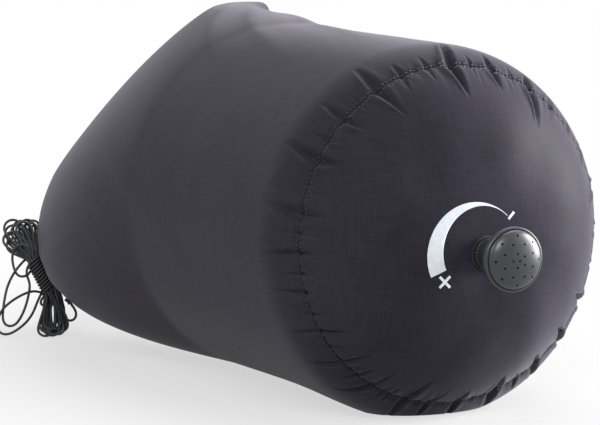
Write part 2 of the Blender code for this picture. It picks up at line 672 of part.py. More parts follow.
def roll_section():
    """The rolled fabric's section: a flattened spiral strip, as a closed outline."""
    steps = int(ROLL_TURNS * ROLL_STEPS)
    turn = np.linspace(0.0, ROLL_TURNS * FULL_TURN, steps + 1)
    radius = ROLL_CORE + ROLL_PITCH * turn / FULL_TURN
    straight = ROLL_WIDTH / 2 - ROLL_HALF_THICKNESS

    def side(offset):
        wide = straight * clamp_turn(turn, ROLL_SHARPNESS_SHARE) + (radius + offset) * np.cos(turn)
        thick = (radius + offset) * np.sin(turn)
        return np.stack([wide, thick], axis=-1)

    return np.concatenate([side(ROLL_LAYER / 2), side(-ROLL_LAYER / 2)[::-1]])


def sweep(name, section, frames, mat):
    """Carry a closed outline along frames of (origin, wide axis, thick axis) and cap both ends."""
    rows = []
    for origin, wide, thick in frames:
        rows.append([origin + wide * float(w) + thick * float(t) for w, t in section])
    points = [p for row in rows for p in row]
    count = len(section)
    faces = grid_faces(len(rows), count, True)
    shape = bmesh.new()
    verts = [shape.verts.new(p) for p in points]
    for face in faces:
        shape.faces.new([verts[i] for i in face])
    for row, flip in ((0, True), (len(rows) - 1, False)):
        loop = verts[row * count:(row + 1) * count]
        shape.faces.new(loop[::-1] if flip else loop)
    bmesh.ops.recalc_face_normals(shape, faces=shape.faces)
    mesh = bpy.data.meshes.new(name)
    shape.to_mesh(mesh)
    shape.free()
    return link(bpy.data.objects.new(name, mesh), mat)


def roll_frames():
    """Frames along the whole closure, arm to arm."""
    first, second = roll_path()
    frames = []
    for e, f, heading in first + second:
        origin = ROLL_CENTRE + EAR_LINE * e + FOLD_LINE * f
        thick = FOLD_LINE * math.cos(heading) - EAR_LINE * math.sin(heading)
        frames.append((origin, WIDE_LINE, thick))
    return frames


def mouth_roll():
    """The rolled mouth, its two ends bent back as arms."""
    return sweep("mouth_roll", roll_section(), roll_frames(), SIDE_FABRIC)


def stiffener_strip():
    """The flat strip in the core of the roll."""
    half_wide = STIFFENER_WIDTH / 2
    half_thick = STIFFENER_THICKNESS / 2
    section = [(-half_wide, -half_thick), (half_wide, -half_thick), (half_wide, half_thick), (-half_wide, half_thick)]
    frames = [(ROLL_CENTRE + EAR_LINE * e, WIDE_LINE, FOLD_LINE) for e in (-ROLL_STRAIGHT, ROLL_STRAIGHT)]
    return sweep("stiffener_strip", section, frames, BUCKLE_PLASTIC)


BUCKLE_ALONG = EAR_LINE * math.cos(BUCKLE_TWIST) - WIDE_LINE * math.sin(BUCKLE_TWIST)
BUCKLE_ACROSS = WIDE_LINE * math.cos(BUCKLE_TWIST) + EAR_LINE * math.sin(BUCKLE_TWIST)
BUCKLE_MIDDLE = (FEMALE_LENGTH - MALE_BASE_LENGTH) / 2
BUCKLE_RISE = BUCKLE_LEVEL + BUCKLE_BAR_THICKNESS / 2 + GAP
BUCKLE_CENTRE = ROLL_CENTRE + FOLD_LINE * BUCKLE_RISE + BUCKLE_ALONG * BUCKLE_MIDDLE


def buckle_matrix():
    """The buckle's frame: x towards the plug half, y across, z back towards the roll."""
    along, across, out = BUCKLE_ALONG, BUCKLE_ACROSS, BUCKLE_ALONG.cross(BUCKLE_ACROSS)
    matrix = Matrix((along, across, out)).transposed().to_4x4()
    matrix.translation = BUCKLE_CENTRE
    return matrix


def buckle_box(name, low, high):
    """A box in the buckle's frame."""
    obj = box_mesh(name, low, high)
    obj.matrix_world = buckle_matrix()
    return obj


def rounded(obj, width, segments=2):
    """Round an object's sharp edges."""
    bevel = obj.modifiers.new("round", "BEVEL")
    bevel.width = width
    bevel.segments = segments
    bevel.limit_method = "ANGLE"
    bevel.angle_limit = math.radians(40)
    return obj


def buckle_female():
    """The socket half: two plates over a socket open to its sides, and a bar for the webbing."""
    half_w = BUCKLE_WIDTH / 2
    half_t = BUCKLE_THICKNESS / 2
    inner_w = half_w - BUCKLE_RAIL
    inner_t = half_t - FEMALE_PLATE
    back = -FEMALE_LENGTH
    over = BUCKLE_WIDTH
    obj = buckle_box("buckle_female", (back, -half_w, -half_t), (0.0, half_w, half_t))
    rounded(obj, FEMALE_PLATE * EDGE_SHARE)
    socket = buckle_box("female_socket", (-FEMALE_SOCKET_DEPTH, -over, -inner_t), (over, over, inner_t))
    boolean(obj, cutter(socket), "DIFFERENCE")
    slot_low = back + BUCKLE_BAR_LENGTH
    slot = buckle_box("female_slot", (slot_low, -inner_w, -over), (slot_low + BUCKLE_SLOT_LENGTH, inner_w, over))
    boolean(obj, cutter(slot), "DIFFERENCE")
    relief(obj, "female", back - over, slot_low + BUCKLE_SLOT_LENGTH / 2, inner_w)
    obj.matrix_world = buckle_matrix()
    return link(obj, BUCKLE_PLASTIC)


def relief(obj, name, low, high, inner_w):
    """Thin the webbing bar from both faces."""
    half_bar = BUCKLE_BAR_THICKNESS / 2
    for side in (-1.0, 1.0):
        z_low, z_high = sorted((side * half_bar, side * BUCKLE_THICKNESS))
        tool = buckle_box(f"{name}_relief_{int(side)}", (low, -inner_w, z_low), (high, inner_w, z_high))
        boolean(obj, cutter(tool), "DIFFERENCE")


def buckle_male():
    """The plug half without its two release arms: base, bar and middle guide."""
    half_w = BUCKLE_WIDTH / 2
    half_t = BUCKLE_THICKNESS / 2
    inner_w = half_w - BUCKLE_RAIL
    front = MALE_BASE_LENGTH
    over = BUCKLE_WIDTH
    obj = buckle_box("buckle_male", (GAP, -half_w, -half_t), (front, half_w, half_t))
    rounded(obj, FEMALE_PLATE * EDGE_SHARE)
    guide = buckle_box("male_guide", (-GUIDE_LENGTH, -GUIDE_WIDTH / 2, -RELEASE_ARM_THICKNESS / 2),
                       (MALE_BASE_LENGTH / 4, GUIDE_WIDTH / 2, RELEASE_ARM_THICKNESS / 2))
    boolean(obj, cutter(guide), "UNION")
    slot_high = front - BUCKLE_BAR_LENGTH
    slot = buckle_box("male_slot", (slot_high - BUCKLE_SLOT_LENGTH, -inner_w, -over), (slot_high, inner_w, over))
    boolean(obj, cutter(slot), "DIFFERENCE")
    relief(obj, "male", slot_high - BUCKLE_SLOT_LENGTH / 2, front + over, inner_w)
    return link(obj, BUCKLE_PLASTIC)


def release_arm(name, side):
    """One springy arm of the plug half; its origin lies on the line it bends about, at its root."""
    half_w = BUCKLE_WIDTH / 2
    stand = RELEASE_BUTTON_STAND
    half_arm = RELEASE_ARM_WIDTH / 2
    middle = half_w - stand - half_arm
    tip = -RELEASE_ARM_LENGTH
    button_low = tip + RELEASE_ARM_WIDTH
    outline = [
        (0.0, -half_arm), (0.0, half_arm), (button_low + RELEASE_BUTTON_LENGTH, half_arm),
        (button_low + RELEASE_BUTTON_LENGTH * BUTTON_HIGH_SHARE, half_arm + 2 * stand),
        (button_low + RELEASE_BUTTON_LENGTH * BUTTON_LOW_SHARE, half_arm + 2 * stand),
        (button_low, half_arm), (tip, -half_arm * BUTTON_LOW_SHARE), (tip, -half_arm)]
    obj = sweep_box_outline(name, [(x, side * y) for x, y in outline], RELEASE_ARM_THICKNESS / 2)
    obj.matrix_world = buckle_matrix() @ Matrix.Translation((0.0, side * middle, 0.0))
    return link(obj, BUCKLE_PLASTIC)


def sweep_box_outline(name, outline, half):
    """A flat outline in x and y, thickened both ways along z."""
    shape = bmesh.new()
    low = [shape.verts.new((x, y, -half)) for x, y in outline]
    high = [shape.verts.new((x, y, half)) for x, y in outline]
    count = len(outline)
    shape.faces.new(low)
    shape.faces.new(high)
    for i in range(count):
        j = (i + 1) % count
        shape.faces.new((low[i], low[j], high[j], high[i]))
    bmesh.ops.recalc_face_normals(shape, faces=shape.faces)
    mesh = bpy.data.meshes.new(name)
    shape.to_mesh(mesh)
    shape.free()
    return bpy.data.objects.new(name, mesh)


def webbing_tab(name, side):
    """A strip of webbing from an arm of the roll, round the buckle's bar and back."""
    if side > 0:
        bar_out, bar_in = MALE_BASE_LENGTH, MALE_BASE_LENGTH - BUCKLE_BAR_LENGTH
    else:
        bar_out, bar_in = -FEMALE_LENGTH, -FEMALE_LENGTH + BUCKLE_BAR_LENGTH
    half_bar = BUCKLE_BAR_THICKNESS / 2 + GAP + WEBBING_THICKNESS / 2
    turn_in = bar_in - side * (GAP + WEBBING_THICKNESS / 2)
    level = ROLL_CENTRE + FOLD_LINE * (BUCKLE_LEVEL - WEBBING_THICKNESS / 2)
    root = level + EAR_LINE * side * (ROLL_STRAIGHT - ARM_LENGTH + WEBBING_OVERLAP)
    tip = level + EAR_LINE * side * (ROLL_STRAIGHT - ARM_LENGTH)
    close = half_bar - WEBBING_THICKNESS - GAP

    def local(x, z):
        return BUCKLE_CENTRE + BUCKLE_ALONG * x + FOLD_LINE * z

    lead_out = bar_out + side * GUIDE_WIDTH
    stations = [
        (root, WIDE_LINE), (tip, WIDE_LINE),
        (local(lead_out, -half_bar), BUCKLE_ACROSS), (local(turn_in, -half_bar), BUCKLE_ACROSS),
        (local(turn_in, half_bar), BUCKLE_ACROSS), (local(bar_out, half_bar), BUCKLE_ACROSS),
        (local(lead_out + side * GUIDE_WIDTH, -close), BUCKLE_ACROSS)]
    half = WEBBING_WIDTH / 2
    points = []
    for origin, across in stations:
        points.append(origin - across * half)
        points.append(origin + across * half)
    obj = mesh_object(name, points, grid_faces(len(stations), 2, False))
    solidify(obj, WEBBING_THICKNESS, 0.0)
    return link(obj, WEBBING)


def spine_point(share):
    """The hank's middle line: a parabola through foot, waist and head, at -1, the waist's share and 1."""
    w = HANK_WAIST_SHARE
    foot = (share - w) * (share - 1.0) / ((-1.0 - w) * -2.0)
    waist = (share + 1.0) * (share - 1.0) / ((w + 1.0) * (w - 1.0))
    head = (share + 1.0) * (share - w) / (2.0 * (1.0 - w))
    return HANK_FOOT * foot + HANK_WAIST * waist + HANK_HEAD * head


def spine_frame(share):
    """Origin, width axis and depth axis of the hank at a share of its spine."""
    step = 0.01
    along = (spine_point(share + step) - spine_point(share - step)).normalized()
    across = along.cross(BAG_LINE).normalized()
    deep = along.cross(across).normalized()
    turn = Matrix.Rotation(HANK_TURN, 3, along)
    return spine_point(share), turn @ across, turn @ deep


def spine_pace(share):
    """How far the hank's spine runs for a whole share, at a share."""
    step = 0.01
    return (spine_point(share + step) - spine_point(share - step)).length / (2 * step)


def hank_flare(share):
    """How much wider the hank is than at its waist."""
    away = abs(share - HANK_WAIST_SHARE)
    return 1.0 + HANK_FLARE_SHARE * math.sin(min(away, 1.0) * math.pi / 2) ** 2


def hank_point(turns):
    """A point of the wound cord: loops that spiral out and in, a layer deeper at each reversal."""
    per_layer = HANK_LOOPS / HANK_LAYERS
    angle = turns * FULL_TURN + math.pi / 2
    out = per_layer - abs(turns % (2 * per_layer) - per_layer)
    nearest = round(turns / per_layer)
    from_turn = turns - nearest * per_layer
    layer = math.floor(turns / per_layer)
    if 0 < nearest < HANK_LAYERS and abs(from_turn) < 0.25:
        climb = from_turn / 0.5 + 0.5
        layer = nearest - 1 + climb * climb * (3 - 2 * climb)
    layer = min(layer, HANK_LAYERS - 1)
    pace = spine_pace(math.copysign(1.0, math.cos(angle)))
    share = math.cos(angle) * (1.0 - HANK_END_PITCH * (per_layer - out) / pace)
    side = math.copysign(abs(math.sin(angle)) ** HANK_ROUND_SHARE, math.sin(angle))
    flare = hank_flare(share)
    wide = side * (HANK_CORE + HANK_PITCH * out) * flare
    deep = (layer - (HANK_LAYERS - 1) / 2) * HANK_PITCH * (1.0 + (flare - 1.0) / 2)
    origin, across, depth = spine_frame(share)
    return origin + across * wide + depth * deep


def wrap_point(turns):
    """A point of the wraps that bind the waist: a helix round a section with round ends."""
    half_deep = (HANK_LAYERS - 1) / 2 * HANK_PITCH
    radius = half_deep + CORD_DIAMETER + WRAP_CLEARANCE
    straight = (HANK_CORE + HANK_PITCH * HANK_LOOPS / HANK_LAYERS) - half_deep * WRAP_STRAIGHT_SHARE
    angle = turns * FULL_TURN
    share = HANK_WAIST_SHARE + (turns - WRAP_TURNS / 2) * WRAP_PITCH / spine_pace(HANK_WAIST_SHARE)
    origin, across, depth = spine_frame(share)
    flare = hank_flare(share)
    wide = (straight * float(clamp_turn(angle, WRAP_SHARPNESS_SHARE)) + radius * math.cos(angle)) * flare
    return origin + across * wide + depth * (radius * math.sin(angle) * flare)


def smooth_route(route, spacing):
    """Points about a spacing apart on a smooth curve through a route's points."""
    points = [Vector(p) for p in route]
    points = [points[0] * 2 - points[1]] + points + [points[-1] * 2 - points[-2]]
    result = []
    for i in range(1, len(points) - 2):
        a, b, c, d = points[i - 1:i + 3]
        count = max(1, round((c - b).length / spacing))
        for k in range(count):
            t = k / count
            result.append((b * 2 + (c - a) * t + (a * 2 - b * 5 + c * 4 - d) * t ** 2
                           + (b * 3 - a - c * 3 + d) * t ** 3) / 2)
    result.append(points[-2])
    return result


def cord_tube(name, points, resolution):
    """A round cord along points, with closed ends."""
    curve = bpy.data.curves.new(name, "CURVE")
    curve.dimensions = "3D"
    curve.bevel_depth = CORD_DIAMETER / 2
    curve.bevel_resolution = resolution
    curve.use_fill_caps = True
    spline = curve.splines.new("POLY")
    spline.points.add(len(points) - 1)
    for point, place in zip(spline.points, points):
        point.co = (*place, 1.0)
    obj = bpy.data.objects.new(name, curve)
    PARTS.objects.link(obj)
    curve.materials.append(CORD_YARN)
    return obj


def least_gap(points, skip):
    """The least gap between stretches of one tube more than a few points apart, and where it is."""
    places = np.array([tuple(p) for p in points])
    dense = np.concatenate([places[:-1] * (1 - t) + places[1:] * t for t in (0.0, 0.25, 0.5, 0.75)])
    order = np.concatenate([np.arange(len(places) - 1) + t for t in (0.0, 0.25, 0.5, 0.75)])
    apart = np.linalg.norm(dense[:, None] - dense[None], axis=2)
    apart[np.abs(order[:, None] - order[None]) < skip] = np.inf
    first, second = np.unravel_index(np.argmin(apart), apart.shape)
    return float(apart.min()) - CORD_DIAMETER, float(order[first]), float(order[second])


def hitch_origin():
    """The outermost point of the closure's lower bend, on its middle line."""
    return ROLL_CENTRE - EAR_LINE * (ROLL_STRAIGHT + ROLL_BEND_RADIUS) + FOLD_LINE * ROLL_BEND_RADIUS


def hitch_points():
    """The cord once round the closure's lower bend, from its knot and back to it."""
    origin = hitch_origin()
    radius = ROLL_HALF_THICKNESS + CORD_DIAMETER / 2 + HITCH_CLEARANCE
    straight = ROLL_WIDTH / 2 - ROLL_HALF_THICKNESS
    start = HITCH_OPENING / 2
    result = []
    for k in range(LOOP_POINTS + 1):
        share = k / LOOP_POINTS
        angle = start + (FULL_TURN - HITCH_OPENING) * share
        wide = straight * float(clamp_turn(angle, WRAP_SHARPNESS_SHARE)) + radius * math.cos(angle)
        result.append(origin + WIDE_LINE * wide + EAR_LINE * (radius * math.sin(angle)))
    return result


def knot_middle():
    """Where the knot sits: off the flat edge of the rolled closure."""
    return hitch_origin() + WIDE_LINE * (ROLL_WIDTH / 2 + KNOT_RADIUS + HITCH_CLEARANCE)


def cord_knot():
    """The knot that closes the hitch, between the two ends of its loop."""
    mesh = bpy.data.meshes.new("cord_knot")
    shape = bmesh.new()
    bmesh.ops.create_uvsphere(shape, u_segments=KNOT_FLATS, v_segments=KNOT_FLATS // 2 + 1,
                              radius=KNOT_RADIUS)
    shape.to_mesh(mesh)
    shape.free()
    obj = bpy.data.objects.new("cord_knot", mesh)
    obj.location = knot_middle()
    return link(obj, CORD_YARN)


def hanging_cord():
    """The cord on the closure: hitch and knot, lead, hank, wraps and two slack loops."""
    hank = [hank_point(k / LOOP_POINTS) for k in range(HANK_LOOPS * LOOP_POINTS + 1)]
    wraps = [wrap_point(k / LOOP_POINTS) for k in range(WRAP_TURNS * LOOP_POINTS + 1)]
    for name, line in (("hank", hank), ("wraps", wraps)):
        gap, first, second = least_gap(line, LOOP_POINTS / 3)
        print(name, "least gap mm", round(1000 * gap, 2), "between turns",
              round(first / LOOP_POINTS, 2), round(second / LOOP_POINTS, 2))
    spacing = SPACING_SHARE * CORD_DIAMETER
    cord_tube("cord_hank", hank, 1)
    cord_tube("cord_wraps", wraps, 1)
    cord_tube("cord_hitch", hitch_points(), 2)
    cord_knot()
    knot = knot_middle()
    start = knot + (Vector(LEAD_ROUTE[0]) - knot).normalized() * (KNOT_RADIUS + GAP)
    cord_tube("cord_lead", smooth_route((start, *LEAD_ROUTE), spacing), 2)
    cord_tube("cord_slack", smooth_route(SLACK_ROUTE, spacing), 2)
    cord_tube("cord_tail", smooth_route(TAIL_ROUTE, spacing), 2)
    total = sum((b - a).length for line in (hank, wraps) for a, b in zip(line, line[1:]))
    print("wound length m", round(total, 3))


def build_bag():
    """Fabric body, panel and what is fixed in it."""
    side_wall()
    base_panel()
    base_seam_allowance()
    side_seam_tape()
    flow_crescent()
    flow_signs()
    panel_fittings()
    spout()
    spout_o_ring()


def build_head():
    """The turning rose and the lifting valve."""
    valve_pieces()
    rose_shell()
    rose_face()
    rose_spider()


def build_closure():
    """Rolled mouth, strip, webbing and buckle."""
    mouth_roll()
    stiffener_strip()
    buckle_female()
    buckle_male()
    release_arm("release_arm_upper", 1.0)
    release_arm("release_arm_lower", -1.0)
    webbing_tab("webbing_tab_lower", -1.0)
    webbing_tab("webbing_tab_upper", 1.0)


def to_rest_place():
    """Move parts and cutters together, so the origin lies in the middle of the resting flat."""
    for obj in list(PARTS.objects) + list(CUTTERS.objects):
        obj.location.y -= REST_PLACE


build_bag()
build_head()
build_closure()
hanging_cord()
to_rest_place()
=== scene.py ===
"""Looks of the camp shower bag: coated nylon with gathered seams, a moulded rose, a rolled mouth and cord.

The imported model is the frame. Each operator dresses one group of its pieces, and all sizes are in metres,
with +Z up, the bag's axis along Y and the rose pointing to -Y.
"""
import math

import bmesh
import bpy
import numpy as np
from mathutils import Matrix, Vector


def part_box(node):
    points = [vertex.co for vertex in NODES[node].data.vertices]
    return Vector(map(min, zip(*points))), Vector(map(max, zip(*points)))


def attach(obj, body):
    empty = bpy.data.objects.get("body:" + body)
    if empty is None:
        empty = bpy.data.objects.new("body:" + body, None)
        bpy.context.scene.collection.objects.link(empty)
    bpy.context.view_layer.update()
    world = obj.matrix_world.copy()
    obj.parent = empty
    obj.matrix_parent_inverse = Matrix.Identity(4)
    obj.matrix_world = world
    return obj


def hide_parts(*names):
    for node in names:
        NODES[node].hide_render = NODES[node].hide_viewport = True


bl_info = {
    "name": "Camp shower bag",
    "version": (1, 0, 0),
    "blender": (4, 5, 0),
    "location": "3D View > Sidebar > Shower bag",
    "description": "Dresses a packed camp shower bag in coated nylon, moulded plastic, webbing and cord",
    "category": "Add Mesh",
}

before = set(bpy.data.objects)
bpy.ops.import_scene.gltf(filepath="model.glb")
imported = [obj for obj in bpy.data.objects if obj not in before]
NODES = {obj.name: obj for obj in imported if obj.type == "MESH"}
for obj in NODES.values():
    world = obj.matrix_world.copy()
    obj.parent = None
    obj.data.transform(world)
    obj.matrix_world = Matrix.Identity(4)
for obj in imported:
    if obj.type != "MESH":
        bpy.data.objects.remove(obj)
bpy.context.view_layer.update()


def box_middle(node):
    """Middle of a node's box."""
    low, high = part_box(node)
    return (np.array(low) + np.array(high)) / 2


def box_size(node):
    """Lengths of a node's box along X, Y and Z."""
    low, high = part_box(node)
    return np.array(high) - np.array(low)


# Places taken from the frame
SEAM_MIDDLE = box_middle("base_seam_allowance")
HEAD_MIDDLE = box_middle("spout")
SEAM_Y = float(SEAM_MIDDLE[1])
AXIS_Z = float(SEAM_MIDDLE[2])
HEAD_Z = float(HEAD_MIDDLE[2])
ROSE_RADIUS = float(box_size("rose_shell")[0]) / 2

# Bag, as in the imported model
BAG_RADIUS = 0.095
SEAM_RADIUS = 0.0858
SIDE_LENGTH = 0.422
ROUND_LENGTH = 0.176
SHOULDER_LENGTH = 0.030
BELLY_DROP = 0.004
BELLY_PLACE = 0.030
BELLY_LENGTH = 0.045
SIDE_SWELL = 0.0050
SIDE_SWELL_TURN = math.radians(-48.0)
SIDE_SWELL_WIDTH = math.radians(34.0)
PANEL_HEIGHT = 0.036
PANEL_FLAT_RADIUS = 0.0145
PANEL_HOLE = 0.0059
SHOULDER_POWER = 3.0
PANEL_RIM_SHARE = 0.955
MOUTH_LEAN = math.radians(48.0)
MOUTH_HALF_WIDTH = 0.0945
MOUTH_HALF_THICKNESS = 0.0053
UPPER_EAR_SWELL = -0.0028
LOWER_EAR_SWELL = 0.0238
MOUTH_SIDE_SHIFT = 0.045
MIDDLE_SIDE_SHIFT = 0.005
MOUTH_LIFT = 0.0237
ROLL_DROOP = math.radians(28.0)
EAR_LINE = np.array([math.sin(MOUTH_LEAN), 0.0, math.cos(MOUTH_LEAN)])
THIN_LINE = np.array([-math.cos(MOUTH_LEAN), 0.0, math.sin(MOUTH_LEAN)])
BAG_LINE = np.array([0.0, 1.0, 0.0])
FOLD_LINE = math.cos(ROLL_DROOP) * BAG_LINE - math.sin(ROLL_DROOP) * THIN_LINE
WIDE_LINE = math.sin(ROLL_DROOP) * BAG_LINE + math.cos(ROLL_DROOP) * THIN_LINE
EAR_TURN = math.pi / 2 - MOUTH_LEAN

# Powers of the taper's share for its thickness, width, sideways drift, lift and slant, how fast its round
# section sharpens to a slot, and the two powers of the panel's dome
THICK_POWER = 1.52
WIDTH_POWER = 3
DRIFT_POWER = 3.1
LIFT_POWER = 0.85
SLANT_POWER = 6
SLOT_SHARPNESS = 1.8
DOME_POWER = 2.2
DOME_ROUND = 0.62
SURFACE_STEP = 0.0004

# Puckers where the base seam gathers the cloth, counter-clockwise from the right as the base is seen:
# place in degrees, depth in mm, half-width in degrees, length in mm over the wall and over the panel,
# and lean in degrees of the crease over the wall and over the panel
PUCKERS = np.array([
    (12, 3.2, 2.2, 20, 19, 0, -1), (25, 1.6, 1.7, 14, 12, 1, 0), (36, 1.3, 1.6, 12, 10, 0, 0),
    (47, 2, 1.9, 14, 14, -1, 1), (58, 3.4, 2.2, 14, 28, -0.4, -3.6), (66, 1, 1.4, 9, 9, 0, 0),
    (74, 2.3, 1.9, 13, 16, 0.4, -1.6), (82, 1, 1.3, 8, 9, 0, 0), (90, 3.2, 2.2, 29, 22, -4.8, -1.2),
    (99, 1, 1.4, 9, 10, 0, 0), (108.8, 1.3, 1.5, 10, 11, 0, 1.6), (119.2, 3.2, 2.2, 23, 21, -1.6, -1.6),
    (127, 0.7, 1.1, 7, 8, 0, 0), (134.8, 2.5, 1.9, 18, 13, -1.2, -1.6), (143.2, 1.6, 1.4, 10, 7, 0.4, -1),
    (151.2, 3.6, 2.4, 26, 15, -2.4, -2.4), (160, 0.9, 1.2, 10, 9, -1, 0),
    (170, 3.4, 2.4, 25, 17, -2.8, -1.6), (176, 0.8, 1.1, 9, 8, 0, 0), (182.8, 2.8, 2, 24, 11, 0.4, -0.4),
    (190, 1, 1.2, 12, 7, -1, 0), (196.4, 2.1, 1.7, 20, 6, -2.4, 0), (204, 0.9, 1.1, 10, 12, -2, 2),
    (210.4, 1.4, 1.2, 20, 24, -2.4, 4), (217, 0.9, 1, 10, 14, -3, 3), (224.4, 1.3, 1.2, 24, 22, -6, 1),
    (232, 0.9, 1, 12, 14, -4, 0), (238.8, 1.4, 1.3, 22, 23, -7, -0.4), (246, 0.8, 1.1, 10, 12, 0, 0),
    (252, 1.8, 1.7, 25, 29, 2.8, 2.4), (262, 1.2, 1.4, 14, 18, 0, 2), (273, 1.7, 1.8, 16, 16, 0, 1),
    (287.6, 2.8, 2.2, 18, 20, 0, 1), (297, 1.2, 1.4, 12, 10, 0, 0), (306, 2.4, 2, 18, 20, 0, -1),
    (319.6, 3.6, 2.3, 20, 22, 0, 0), (333.6, 3.8, 2.3, 22, 24, 0, 1), (346, 1.6, 1.6, 13, 12, 0, 0),
    (358, 1.9, 1.8, 15, 15, 0, -1)])

# Small puckers: how many, the seed of their chance, their shift as a share of their spacing, and their ranges
# of depth in mm, half-width in degrees, length in mm over the wall and over the panel, and lean in degrees
SMALL_PUCKERS = 84
SMALL_SEED = 5
SMALL_SHIFT = 0.36
SMALL_DEPTH = (0.25, 0.95)
SMALL_HALF_WIDTH = (0.9, 1.5)
SMALL_WALL_LENGTH = (5.0, 13.0)
SMALL_PANEL_LENGTH = (7.0, 22.0)
SMALL_LEAN = 1.4

# A pucker's section in half-widths: how high its flanks start, how round its bottom is, and its two lips by
# height, place and half-width. Then how it narrows and fades along its crease, and how much denser and how
# far round the grid is denser at a pucker
FLANK_HEIGHT = 1.08
BOTTOM_ROUNDING = 0.0064
LIPS = ((0.34, 1.55, 0.62), (0.18, -1.6, 0.7))
PUCKER_NARROWING = 0.72
PUCKER_FADE = 1.1
PUCKER_DENSITY = 2.2
PUCKER_DENSE_HALF = math.radians(1.5)

# The groove that the seam's thread draws in the cloth, how much deeper the creases are off the seam, how far
# from the seam the gathers pull on the cloth, and the pull's shares in towards the axis and back along it
GROOVE_DEPTH = 0.0011
GROOVE_WIDTH = 0.0017
CREASE_GAIN = 1.45
SEAM_REACH = 0.0045
PULL_IN = 0.72
PULL_BACK = 0.35

# Slack of the panel: where it starts from the middle, and its height
SLACK_START = 0.030
SLACK_HEIGHT = 0.0006

# Hem turned in at the seam: distances of its rows from the edge, innermost first, the same on the cloth, and
# how far off the seam it lies
HEM_PLACES = (0.008, 0.004, 0.0008)
HEM_RUN = (0.008, 0.004, 0.001)
HEM_STAND = 0.00025

# End of the wall where it closes into the roll: its rows' shares and their run on the cloth, how much they
# flatten and by which power, how much they narrow, and how far they reach along the fold
PINCH_SHARES = (0.35, 0.7, 1.0)
PINCH_RUN = (0.002, 0.004, 0.006)
PINCH_FLATTENING = 0.93
PINCH_POWER = 0.7
PINCH_NARROWING = 0.02
PINCH_LENGTH = 0.0055

# Grid of the cloth: rows of the wall, rows of the panel, columns, and the powers by which the rows of the
# wall's shoulder and of the panel crowd at the seam
WALL_ROWS = 152
PANEL_ROWS = 130
CLOTH_COLUMNS = 600
WALL_CROWDING = 1.25
PANEL_CROWDING = 1.5

# Stitches of the base seam: distance of each row from it, radius of the thread, and share of the spacing.
# Then the shape of every stitch: as many sections as sides, how much it thins at its ends, the power of its
# arch, and how deep it sits in radii
STITCH_SIDES = 6
STITCH_THINNING = 0.72
STITCH_ARCH = 0.8
STITCH_DEPTH = 0.55
STITCH_ROW = 0.0008
STITCH_RADIUS = 0.00040
STITCH_SHARE = 0.84
THREAD_PITCH = 0.0004

# Stitches of the webbing tabs: length, radius, spacing, distance from the edges, and far end of their box
TAB_STITCH_LENGTH = 0.0017
TAB_STITCH_RADIUS = 0.00020
TAB_STITCH_STEP = 0.0021
TAB_STITCH_EDGE = 0.0022
TAB_STITCH_END = 0.0150

# Long soft folds of the wall: start and end distance behind the seam, start and end place in degrees,
# height in mm and half-width in mm
DRAPES = np.array([
    (0.405, 0.09, 58, 118, 1.1, 6), (0.4, 0.11, 66, 136, 0.9, 7), (0.395, 0.06, 52, 96, 1.2, 6),
    (0.39, 0.07, 47, 78, 1.1, 5), (0.4, 0.12, 40, 20, 1, 7), (0.395, 0.08, 30, -12, 1, 8),
    (0.4, 0.22, 214, 186, 0.4, 7), (0.395, 0.2, 222, 210, 0.5, 7), (0.39, 0.16, 232, 258, 0.5, 8),
    (0.26, 0.12, 150, 190, 0.3, 7), (0.4, 0.22, 240, 290, 0.5, 9), (0.33, 0.15, 340, 310, 0.8, 8)])

# Fine short creases, in the same terms
CREASES = np.array([
    (0.232, 0.22, 181, 197, 0.3, 1.1), (0.222, 0.214, 188, 203, 0.32, 1.2),
    (0.243, 0.236, 176, 190, 0.22, 1.2), (0.211, 0.207, 196, 208, 0.24, 1.1),
    (0.262, 0.25, 187, 200, 0.26, 1.3), (0.205, 0.19, 205, 216, 0.26, 1.3),
    (0.12, 0.08, 222, 232, 0.3, 1.6), (0.11, 0.07, 231, 240, 0.26, 1.5), (0.3, 0.27, 200, 212, 0.3, 1.6),
    (0.31, 0.24, 20, 44, 0.4, 2), (0.29, 0.23, 2, 20, 0.35, 2.2), (0.33, 0.28, 88, 104, 0.3, 2.2)])

# Rolled closure and its buckle, with the roll's wrinkles by height, waves in a metre of its line, and start
ROLL_WIDTH = 0.022
ROLL_TURNS = 2.5
ROLL_CORE = 0.0018
ROLL_PITCH = 0.0012
ROLL_LAYER = 0.0008
ROLL_SHARPNESS = 2.2
ROLL_BEND_RADIUS = 0.014
ARM_LENGTH = 0.024
FEMALE_LENGTH = 0.026
MALE_BASE_LENGTH = 0.0155
BUCKLE_BAR_LENGTH = 0.0024
BUCKLE_BAR_THICKNESS = 0.0024
BUCKLE_TWIST = math.radians(15.0)
WEBBING_WIDTH = 0.0195
WEBBING_THICKNESS = 0.0010
WEBBING_OVERLAP = 0.018
PIECE_GAP = 0.0003
WRINKLES = ((0.0088, 420.0, 0.8), (0.0072, 910.0, 0.0))
ROLL_HALF_THICKNESS = ROLL_CORE + ROLL_TURNS * ROLL_PITCH + ROLL_LAYER / 2
ROLL_UNDERSIDE = ROLL_CORE + (ROLL_TURNS - 0.75) * ROLL_PITCH + ROLL_LAYER / 2
MOUTH_PLACE = np.array([MOUTH_SIDE_SHIFT, SEAM_Y + SIDE_LENGTH, AXIS_Z + MOUTH_LIFT])
ROLL_PLACE = MOUTH_PLACE + FOLD_LINE * (ROLL_UNDERSIDE + PIECE_GAP)
ROLL_STRAIGHT = MOUTH_HALF_WIDTH - ROLL_BEND_RADIUS - ROLL_HALF_THICKNESS
BUCKLE_LEVEL = 2 * ROLL_BEND_RADIUS + ROLL_UNDERSIDE + PIECE_GAP + WEBBING_THICKNESS
BUCKLE_RISE = BUCKLE_LEVEL + BUCKLE_BAR_THICKNESS / 2 + PIECE_GAP
